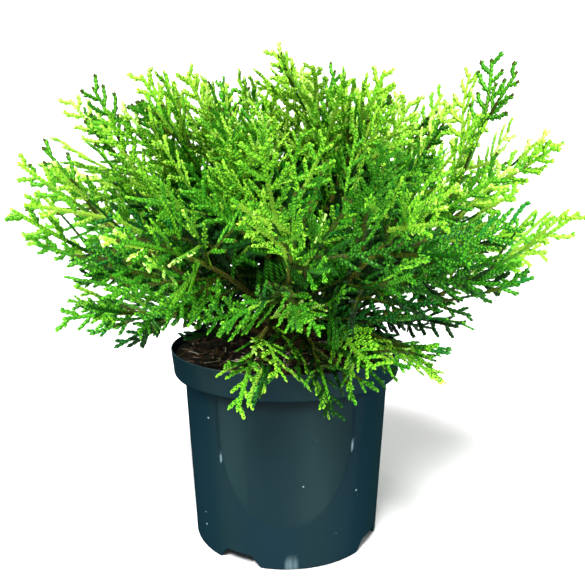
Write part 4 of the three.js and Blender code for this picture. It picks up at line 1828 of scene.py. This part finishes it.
@dataclass
class NurseryPot:
    """The round nursery pot: a turned wall with a notched foot, a rim band and raised panels."""

    rim_radius: float
    height: float
    wall: float = 1.5
    band_foot_radius: float = 92.7
    band_foot: float = 138.5
    body_top_radius: float = 84.3
    body_base_radius: float = 76.9
    base_wall: float = 0.9
    lip_width: float = 1.7
    lip_rounding: float = 0.75
    foot_thickness: float = 3
    foot_edge: float = 0.6
    floor_underside: float = 10
    pad_radius: float = 18
    pad_slope: float = 2
    notch_angles: Row = (-118.5, -28.5, 61.5, 151.5)
    notch_height: float = 9.2
    notch_top_width: float = 24
    notch_foot_width: float = 36
    notch_blend: float = 14
    notch_rounding: float = 0.25
    panel_angles: Row = (-90, 90)
    panel_radius: float = 82.614
    panel_half_width: float = 53.4
    panel_middle: float = 104
    panel_depth: float = 69
    panel_top: float = 136
    panel_raise: float = 0.45
    panel_edge: float = 1.5
    drain_circle: float = 48
    drain_radius: float = 5
    drain_count: int = 6
    drain_sides: int = 36
    drain_margin: float = 3
    sharp_angle: float = 38
    # The painted sheen: how many lobes run round the pot, and the direction of the first dark
    # middle, in degrees.
    sheen_lobe_count: int = 7
    sheen_lobe_start: float = -98
    # The painted shade: its depth under the band at the sides and at the middles, its strength, its
    # reach up the band, and its line beside the panels.
    shade_depth: Pair = (6, 14)
    shade_strength: float = 0.8
    shade_above: float = 2.4
    line_strength: float = 0.55
    line_width: float = 2
    line_fade: Pair = (66, 50)
    # The painted highlights: the lip's bright line, and for each glint or reflection its direction,
    # height, half width, half height and strength.
    lip_highlight_strength: float = 0.3
    lip_highlight_reach: float = 0.5
    painted_highlights: tuple[Row, ...] = (
        (-127.125, 86, 1.2, 4.8, 0.75), (-51.75, 96, 1.2, 4.8, 0.75), (-86.7, 2, 6.4, 11, 0.25))
    columns: int = 320
    step: float = 16
    wall_step: float = 3.0

    def profile(self) -> Array:
        """The line that is turned: from the underside's middle, up outside and down inside.

        Returns:
            Rows of a radius and a height.
        """
        floor, lip = self.floor_underside + self.wall, self.lip_rounding
        return rounded_line([
            (0, 0, 0),
            (self.pad_radius, 0, 1),
            (self.pad_radius + self.pad_slope, self.floor_underside, 1),
            (self.body_base_radius - self.foot_thickness, self.floor_underside, 0.5),
            (self.body_base_radius - self.foot_thickness, 0, 0.5),
            (self.body_base_radius, 0, 1.6),
            (self.body_top_radius, self.band_foot - 0.3, 0.7, self.wall_step),
            (self.band_foot_radius, self.band_foot, 3),
            (self.rim_radius, self.height, lip),
            (self.rim_radius - self.lip_width, self.height, lip),
            (self.band_foot_radius - self.wall, self.band_foot + self.wall, 3),
            (self.body_top_radius - self.wall, self.band_foot + self.wall, 0.6),
            (self.body_base_radius - self.base_wall, floor, 1),
            (self.pad_radius, floor, 1),
            (self.pad_radius - self.pad_slope, self.wall, 1),
            (0, self.wall, 0),
        ], self.step)

    def notch(self, turn: Array) -> Array:
        """How far the foot is cut away at each direction round the pot, with rounded corners.

        Args:
            turn: The directions, in radians.

        Returns:
            The height of the cut at each.
        """
        cut = np.zeros_like(turn)
        for angle in self.notch_angles:
            away = turns_off(turn, angle) * self.body_base_radius
            flank = (self.notch_foot_width - self.notch_top_width) / 2
            share = (self.notch_foot_width / 2 - away) / flank
            share = (share + self.notch_rounding) / (1 + 2 * self.notch_rounding)
            cut = np.maximum(cut, smooth_step(share) * self.notch_height)
        return cut

    def inside_panel(self, turn: Array, height: Array) -> Array:
        """How far inside the nearer panel's edge each direction and height lies.

        Args:
            turn: The directions, in radians.
            height: The heights.

        Returns:
            The distance inside the edge, which is less than 0 outside.
        """
        drop = np.maximum(0, self.panel_middle - height) / self.panel_depth
        off = np.minimum(*[turns_off(turn, angle) for angle in self.panel_angles])
        across = off * self.panel_radius / self.panel_half_width
        return (1 - np.hypot(across, drop)) * self.panel_half_width

    def panel(self, turn: Array, height: Array) -> Array:
        """How much of a panel's rise the wall has at each direction and height: none to all."""
        top = smooth_step((self.panel_top - height) / self.panel_edge + 0.5)
        return smooth_step(self.inside_panel(turn, height) / self.panel_edge + 0.5) * top

    def shade(self, turn: Array, height: Array) -> Array:
        """How much painted shade darkens the wall under the band, the band's lowest edge and a line
        along the panels' upper edges.

        Args:
            turn: The directions, in radians.
            height: The heights.

        Returns:
            The share of shade, from 0 to 1.
        """
        low, high = self.shade_depth
        middle = 0.5 + 0.5 * np.cos(2 * (turn - math.radians(self.panel_angles[0])))
        below = (self.band_foot - height) / (low + (high - low) * middle**2)
        above = (height - self.band_foot) / self.shade_above
        share = 1 - np.where(height < self.band_foot, below, above)
        edge = np.abs(self.inside_panel(turn, height) + self.line_width) / self.line_width
        fade = smooth_step((height - self.line_fade[0]) / self.line_fade[1])
        line = self.line_strength * smooth_step(1 - edge) * fade * (height < self.band_foot)
        return np.maximum(self.shade_strength * smooth_step(share), line)

    def painted_highlight(self, turn: Array, height: Array) -> Array:
        """How much painted highlight lightens the wall on the front and on the back, and along the
        lip.

        Args:
            turn: The directions, in radians.
            height: The heights.

        Returns:
            The share, from 0 to 1.
        """
        share = np.zeros(np.broadcast(turn, height).shape)
        for angle, level, half_width, half_height, strength in self.painted_highlights:
            off = turns_off(turn, angle, np.pi) * self.body_top_radius
            square = (off / half_width) ** 4 + ((height - level) / half_height) ** 2
            share = np.maximum(share, strength * smooth_step(1 - square))
        # The lip's painted highlight line.
        painted_sheen = smooth_step((height - self.height) / self.lip_highlight_reach + 1)
        return np.maximum(share, self.lip_highlight_strength * painted_sheen)

    def build(self, finish: Material) -> None:
        """Turns the pot, cuts its foot, raises its panels and opens its drain holes.

        Args:
            finish: The plastic.
        """
        line = self.profile()
        turn = ring_turns(self.columns)
        radius = np.repeat(line[:, :1], self.columns, axis=1)
        height = np.repeat(line[:, 1:], self.columns, axis=1)
        cut = self.notch(turn)
        crest = int(np.argmax(line[:, 1]))
        foot = self.body_base_radius - self.foot_thickness
        slope = (self.body_top_radius - self.body_base_radius) / self.band_foot
        on_wall = line[:, 0] > foot + self.foot_edge
        for row in range(crest):
            blend = self.notch_blend if on_wall[row] else self.floor_underside
            if line[row, 0] > foot - TINY and line[row, 1] < blend:
                height[row] = cut + line[row, 1] * (blend - cut) / blend
                radius[row] += slope * (height[row] - line[row, 1]) if on_wall[row] else 0
        outside = (np.arange(len(line)) < crest)[:, None] & on_wall[:, None]
        rise = outside * self.panel(turn[None, :], height)
        radius += self.panel_raise * rise
        points = np.stack([radius * np.cos(turn), radius * np.sin(turn), height], axis=-1)
        target = MeshBin()
        target.add(*closed_rows(points[1:-1]), 0)
        piece = target.to_object("notched_pot_with_panels", [finish], True)
        # Painted sheen that rises and falls in lobes round the pot.
        sheen_lobes = self.sheen_lobe_count * (turn - math.radians(self.sheen_lobe_start))
        values = {
            "panel": np.where(outside & (height > self.band_foot), 0.5, rise),
            "sheen_lobe": np.broadcast_to(0.5 - 0.5 * np.cos(sheen_lobes), height.shape),
            # Painted shade under the band and beside the panels.
            "shade": outside * self.shade(turn[None, :], height),
            # Painted highlights: glints, a reflection on the foot and the lip's bright line.
            "painted_highlight": outside * self.painted_highlight(turn[None, :], height),
        }
        for name, shares in values.items():
            held = piece.data.attributes.new(name, "FLOAT", "POINT")
            rows = np.append(shares[1:-1].ravel(), [0, 0])
            held.data.foreach_set("value", rows.astype(np.float32))
        self.open_drains(piece)
        piece.data.set_sharp_from_angle(angle=math.radians(self.sharp_angle))
        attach(piece, BODY)
        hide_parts("pot")
        LOG.info("%s: %d faces with its drain holes", piece.name, len(piece.data.polygons))

    def open_drains(self, piece: bpy.types.Object) -> None:
        """Cuts the round drain holes through the floor.

        Args:
            piece: The turned pot.
        """
        target = MeshBin()
        around = ring_turns(self.drain_sides)
        low = self.floor_underside - self.drain_margin
        high = self.floor_underside + self.wall + self.drain_margin
        for k in range(self.drain_count):
            angle = 2 * math.pi * (k + 0.5) / self.drain_count
            middle = self.drain_circle * np.array([math.cos(angle), math.sin(angle)])
            rings = np.stack([
                np.stack([
                    middle[0] + self.drain_radius * np.cos(around),
                    middle[1] + self.drain_radius * np.sin(around),
                    np.full(self.drain_sides, level)], axis=-1)
                for level in (low, high)])
            target.add(*closed_rows(rings), 0)
        cutter = target.to_object("drain_cutter", [], False)
        change = piece.modifiers.new("drains", "BOOLEAN")
        change.operation, change.solver, change.object = "DIFFERENCE", "MANIFOLD", cutter
        graph = bpy.context.evaluated_depsgraph_get()
        made = bpy.data.meshes.new_from_object(piece.evaluated_get(graph))
        piece.modifiers.clear()
        piece.data = made
        bpy.data.objects.remove(cutter)


@dataclass
class SoilBed:
    """The peat in the pot, and the bark fibres, crumbs and straw that lie on it."""

    pot: NurseryPot
    top: float
    dice: Dice
    inset: float = 0.3
    flat_radius: float = 20
    shoulder: Pair = (60, 0.8)
    edge: Pair = (91, 3.2)
    relief: float = 1.5
    columns: int = 160
    lattice: int = 64
    cells: Triple = (17.0, 6.5, 3.1)
    cell_shares: Triple = (0.5, 0.32, 0.22)
    cell_offset: float = 30
    stem_room: float = 14
    stem_fade: float = 8
    wall_fade: float = 3
    held_drop: float = 0.5
    rings: int = 44
    splinter_count: int = 620
    splinter_length: Pair = (3.5, 14)
    splinter_width: Pair = (0.4, 0.75)
    splinter_widening: float = 0.6
    splinter_thickness: float = 0.42
    splinter_tilt: float = 0.3
    splinter_bend: float = 0.14
    splinter_lift: Pair = (0.2, 1.1)
    raggedness: Pair = (0.8, 1.2)
    splinter_rings: tuple[Pair, ...] = (
        (0, 0.35), (0.14, 0.9), (0.5, 1.0), (0.82, 0.8), (1, 0.25))
    splinter_tones: Row = (0.1, 0.32, 0.62, 0.86, 1)
    crumb_count: int = 460
    crumb_size: Pair = (0.7, 2.1)
    crumb_sink: float = 0.25
    crumb_spread: Pair = (0.7, 1.25)
    crumb_rings: tuple[Pair, ...] = ((-0.35, 0.9), (0.45, 0.7))
    crumb_sides: int = 5
    crumb_tones: Row = (0.4, 0.72, 0.9, 0.975, 1)

    def __post_init__(self) -> None:
        """Draws the lattices that the lumps are read from."""
        count = self.lattice**2
        self.lattices = [
            np.array([self.dice.between(-1, 1) for _ in range(count)]).reshape(self.lattice, -1)
            for _ in self.cells]

    def lump(self, x: Array, y: Array) -> Array:
        """The height of the lumps over places, from three lattices of ever finer cells.

        Args:
            x: Their X.
            y: Their Y.

        Returns:
            The height at each.
        """
        total = np.zeros(np.shape(x))
        for values, cell, share in zip(self.lattices, self.cells, self.cell_shares, strict=True):
            u, v = np.asarray(x) / cell + self.cell_offset, np.asarray(y) / cell + self.cell_offset
            k, j = np.floor(u).astype(int), np.floor(v).astype(int)
            s, t = smooth_step(u - k), smooth_step(v - j)
            corner = [values[(k + a) % self.lattice, (j + b) % self.lattice] for a, b in
                      ((0, 0), (1, 0), (0, 1), (1, 1))]
            low, high = corner[0] * (1 - s) + corner[1] * s, corner[2] * (1 - s) + corner[3] * s
            total += share * (low * (1 - t) + high * t)
        return total

    def surface(self, x: Array, y: Array) -> Array:
        """The height of the soil over places.

        Args:
            x: Their X.
            y: Their Y.

        Returns:
            The height at each.
        """
        away = np.hypot(x, y)
        fall = np.interp(away, [0, self.flat_radius, self.shoulder[0], self.edge[0]],
                         [0, 0, self.shoulder[1], self.edge[1]])
        held = smooth_step((away - self.stem_room) / self.stem_fade)
        held = held * smooth_step((self.edge[0] + 0.6 - away) / self.wall_fade)
        lump = self.relief * held * self.lump(x, y)
        return self.top - fall + lump - self.held_drop * (1 - held)

    def bed(self, finish: Material) -> None:
        """Makes the bed of peat, which fills the pot.

        Args:
            finish: The peat's material.
        """
        turn = ring_turns(self.columns)
        pot, floor = self.pot, self.pot.floor_underside + self.pot.wall + self.inset
        base = pot.body_base_radius - pot.base_wall - self.inset
        neck = pot.body_top_radius - pot.wall - self.inset
        band = pot.band_foot + pot.wall + self.inset
        wide = pot.band_foot_radius - pot.wall - self.inset
        sides = [
            (2, floor), (30, floor), (base - 1, floor), (base, floor + 1), (neck, band - 0.4),
            (neck + 0.3, band), (wide - 3, band), (wide - 0.6, band + 3.2), (self.edge[0], 150)]
        rows = [np.stack([r * np.cos(turn), r * np.sin(turn), np.full(self.columns, z)], axis=-1)
                for r, z in sides]
        for r in np.linspace(self.edge[0] + 0.2, 1.5, self.rings):
            x, y = r * np.cos(turn), r * np.sin(turn)
            rows.append(np.stack([x, y, self.surface(x, y)], axis=-1))
        target = MeshBin()
        target.add(*closed_rows(np.array(rows)), 0)
        piece = target.to_object("lumpy_peat", [finish], True)
        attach(piece, BODY)
        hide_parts("soil")

    def spot(self, room: float) -> Array:
        """A drawn place on the soil that keeps its room from the stem and the wall.

        Args:
            room: That room.

        Returns:
            The place.
        """
        low, high = self.stem_room + room, self.edge[0] - room
        away = math.sqrt(self.dice.between(low**2, high**2))
        angle = self.dice.between(0, 2 * math.pi)
        x, y = away * math.cos(angle), away * math.sin(angle)
        return np.array([x, y, float(self.surface(np.array(x), np.array(y)))])

    def splinter(self, target: MeshBin) -> None:
        """Adds one bark fibre: a thin bent sliver with ragged ends.

        Args:
            target: The bin that takes it.
        """
        dice = self.dice
        length = self.splinter_length[0] + self.splinter_length[1] * dice.draw() ** 2
        width = dice.between(*self.splinter_width)
        width += self.splinter_widening * dice.draw() ** 3 * length / 8
        middle = self.spot(length / 2)
        heading = dice.between(0, 2 * math.pi)
        tilt = dice.between(-self.splinter_tilt, self.splinter_tilt)
        level = np.array([math.cos(heading), math.sin(heading), 0])
        along = level * math.cos(tilt) + UP * math.sin(tilt)
        across = unit(np.cross(UP, along))
        upper = np.cross(along, across)
        bend = dice.between(-self.splinter_bend, self.splinter_bend) * length
        lift = abs(math.sin(tilt)) * length / 2 + dice.between(*self.splinter_lift)
        rings = []
        for share, size in self.splinter_rings:
            bow = across * bend * (share - share * share) * 4
            centre = middle + along * (share - 0.5) * length + bow + UP * lift
            side = across * width * size * dice.between(*self.raggedness)
            rise = upper * self.splinter_thickness * width * size
            rings.append([centre + side, centre + rise, centre - side, centre - rise])
        tone = int(np.searchsorted(self.splinter_tones, dice.draw(), "right"))
        target.add(*closed_rows(np.array(rings)), tone)

    def crumb(self, target: MeshBin) -> None:
        """Adds one crumb: a small uneven lump with flat faces.

        Args:
            target: The bin that takes it.
        """
        dice = self.dice
        size = self.crumb_size[0] + self.crumb_size[1] * dice.draw() ** 2.5
        middle = self.spot(size + 1) + UP * size * self.crumb_sink
        turn = ring_turns(self.crumb_sides) + dice.between(0, 6)
        rings = []
        for level, reach in self.crumb_rings:
            radii = size * reach * np.array([dice.between(*self.crumb_spread) for _ in turn])
            flat = [radii * np.cos(turn), radii * np.sin(turn), np.full(len(turn), level * size)]
            rings.append(np.stack(flat, axis=-1))
        tone = int(np.searchsorted(self.crumb_tones, dice.draw(), "right"))
        target.add(*closed_rows(np.array(rings) + middle), tone)

    def litter(self, finishes: list[Material]) -> None:
        """Scatters the fibres and crumbs as one piece.

        Args:
            finishes: The tints, from the darkest.
        """
        target = MeshBin()
        for _ in range(self.splinter_count):
            self.splinter(target)
        for _ in range(self.crumb_count):
            self.crumb(target)
        piece = target.to_object("bark_litter", finishes, False)
        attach(piece, BODY)


@dataclass
class Studio:
    """The pale floor, the soft light and the camera at the photograph's place."""

    camera_place: Triple = (5.3, -560, 300)
    camera_pitch: float = 9.86
    focal_pixels: float = 688
    picture_pixels: float = 585
    sensor: float = 36
    clip: Pair = (0.01, 100)
    floor_radii: Row = (0.3, 1.2, 4.0, 14.0)
    floor_sides: int = 64
    floor_drop: float = 0.4
    floor_depth: float = 20
    floor_tones: Pair = (0.86, 0.9)
    aim_height: float = 0.25
    surround: float = 0.16
    backdrop: float = 1.6
    exposure: float = 0.3

    def camera(self) -> None:
        """Sets the camera: it looks along +Y and a little down."""
        data = bpy.data.cameras.new("camera")
        data.lens = self.focal_pixels / self.picture_pixels * self.sensor
        data.sensor_width = self.sensor
        data.clip_start, data.clip_end = self.clip
        made = put("camera", data)
        made.location = Vector(self.camera_place) * MM
        made.rotation_euler = (math.radians(90 - self.camera_pitch), 0, 0)
        bpy.context.scene.camera = made

    def lamp(self, name: str, kind: str, place: Triple, energy: float, **settings: float) -> None:
        """Adds a soft lamp that shines from a place to the plant.

        Args:
            name: Its name.
            kind: Blender's name of its kind.
            place: Where it is, in metres.
            energy: Its strength as a sun, or else its power in watts.
            settings: Its angle as a sun, or else its size.
        """
        data = bpy.data.lights.new(name, kind)
        data.energy = energy
        for key, value in settings.items():
            setattr(data, key, value)
        made = put(name, data)
        made.location = place
        aim = Vector((0, 0, 0 if kind == "SUN" else self.aim_height)) - Vector(place)
        made.rotation_euler = aim.to_track_quat("-Z", "Y").to_euler()

    def floor(self) -> None:
        """Makes the pale floor as a disc of quads."""
        bench = NodeBench("pale_floor", 0.9, 0.2)
        stops = [
            (place, (tone, tone, tone, 1.0))
            for place, tone in zip(bench.NOISE_SPAN, self.floor_tones, strict=True)]
        bench.join(bench.ramp(bench.noise(Grain(3)), stops), bench.shader.inputs["Base Color"])
        radii, turn = np.array(self.floor_radii)[:, None] / MM, ring_turns(self.floor_sides)
        x, y = radii * np.cos(turn), radii * np.sin(turn)
        rings = np.stack([x, y, np.full(x.shape, -self.floor_drop)], axis=-1)
        rings = np.concatenate([rings, rings[::-1] - self.floor_depth * UP])
        target = MeshBin()
        points, triangles = closed_rows(rings)
        target.add(points, triangles[:, ::-1], 0)
        made = target.to_object("floor", [bench.material], False)

    def build(self) -> None:
        """Sets the whole stage."""
        scene = bpy.context.scene
        self.camera()
        self.floor()
        world = bpy.data.worlds.new("studio")
        world.use_nodes = True
        nodes, links = world.node_tree.nodes, world.node_tree.links
        mix = nodes.new("ShaderNodeMixShader")
        path = nodes.new("ShaderNodeLightPath")
        links.new(path.outputs["Is Camera Ray"], mix.inputs["Fac"])
        around, seen = nodes["Background"], nodes.new("ShaderNodeBackground")
        pairs = (around, self.surround), (seen, self.backdrop)
        for slot, (node, strength) in enumerate(pairs, 1):
            node.inputs["Color"].default_value = WHITE
            node.inputs["Strength"].default_value = strength
            links.new(node.outputs["Background"], mix.inputs[slot])
        links.new(mix.outputs["Shader"], nodes["World Output"].inputs["Surface"])
        scene.world = world
        self.lamp("key", "SUN", (-0.35, -1.3, 1.8), 5.7, angle=math.radians(22))
        self.lamp("top", "SUN", (0.5, 0.6, 2.0), 1.2, angle=math.radians(50))
        self.lamp("fill", "AREA", (1.3, -1.4, 0.7), 6, size=0.8)
        scene.view_settings.view_transform = "Standard"
        scene.view_settings.look = "None"
        scene.view_settings.exposure = self.exposure


def main() -> None:
    """Builds the potted shrub round its frame."""
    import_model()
    pot_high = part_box("pot")[1]
    soil_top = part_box("soil")[1].z / MM
    leaders = make_leaders(soil_top)
    crown = Crown(soil_top, pot_high.x / MM, pot_high.z / MM)
    Studio().build()
    greens = [
        LeafGreen(name=f"leaf_{green.name.lower()}", screen=GREENS[green].screen).material()
        for green in Green]
    bark = Bark().material()
    twig_tones = [
        LeafGreen(name="twig_umber", screen=(56, 50, 22)).material(),
        LeafGreen(name="twig_gold", screen=(98, 106, 34)).material(),
        greens[Green.OLIVE], greens[Green.FRESH], greens[Green.BRIGHT]]
    pot = NurseryPot(pot_high.x / MM, pot_high.z / MM)
    pot.build(PotPlastic().material())
    soil = SoilBed(pot, soil_top, Dice(LITTER_SEED))
    soil.bed(Peat().material())
    soil.litter([tint.material() for tint in LITTER_TINTS])
    WoodyFrame(leaders, soil_top).build(bark, twig_tones)
    Foliage(crown, leaders, SprayRule()).build(greens)


if __name__ == "__main__":
    main()
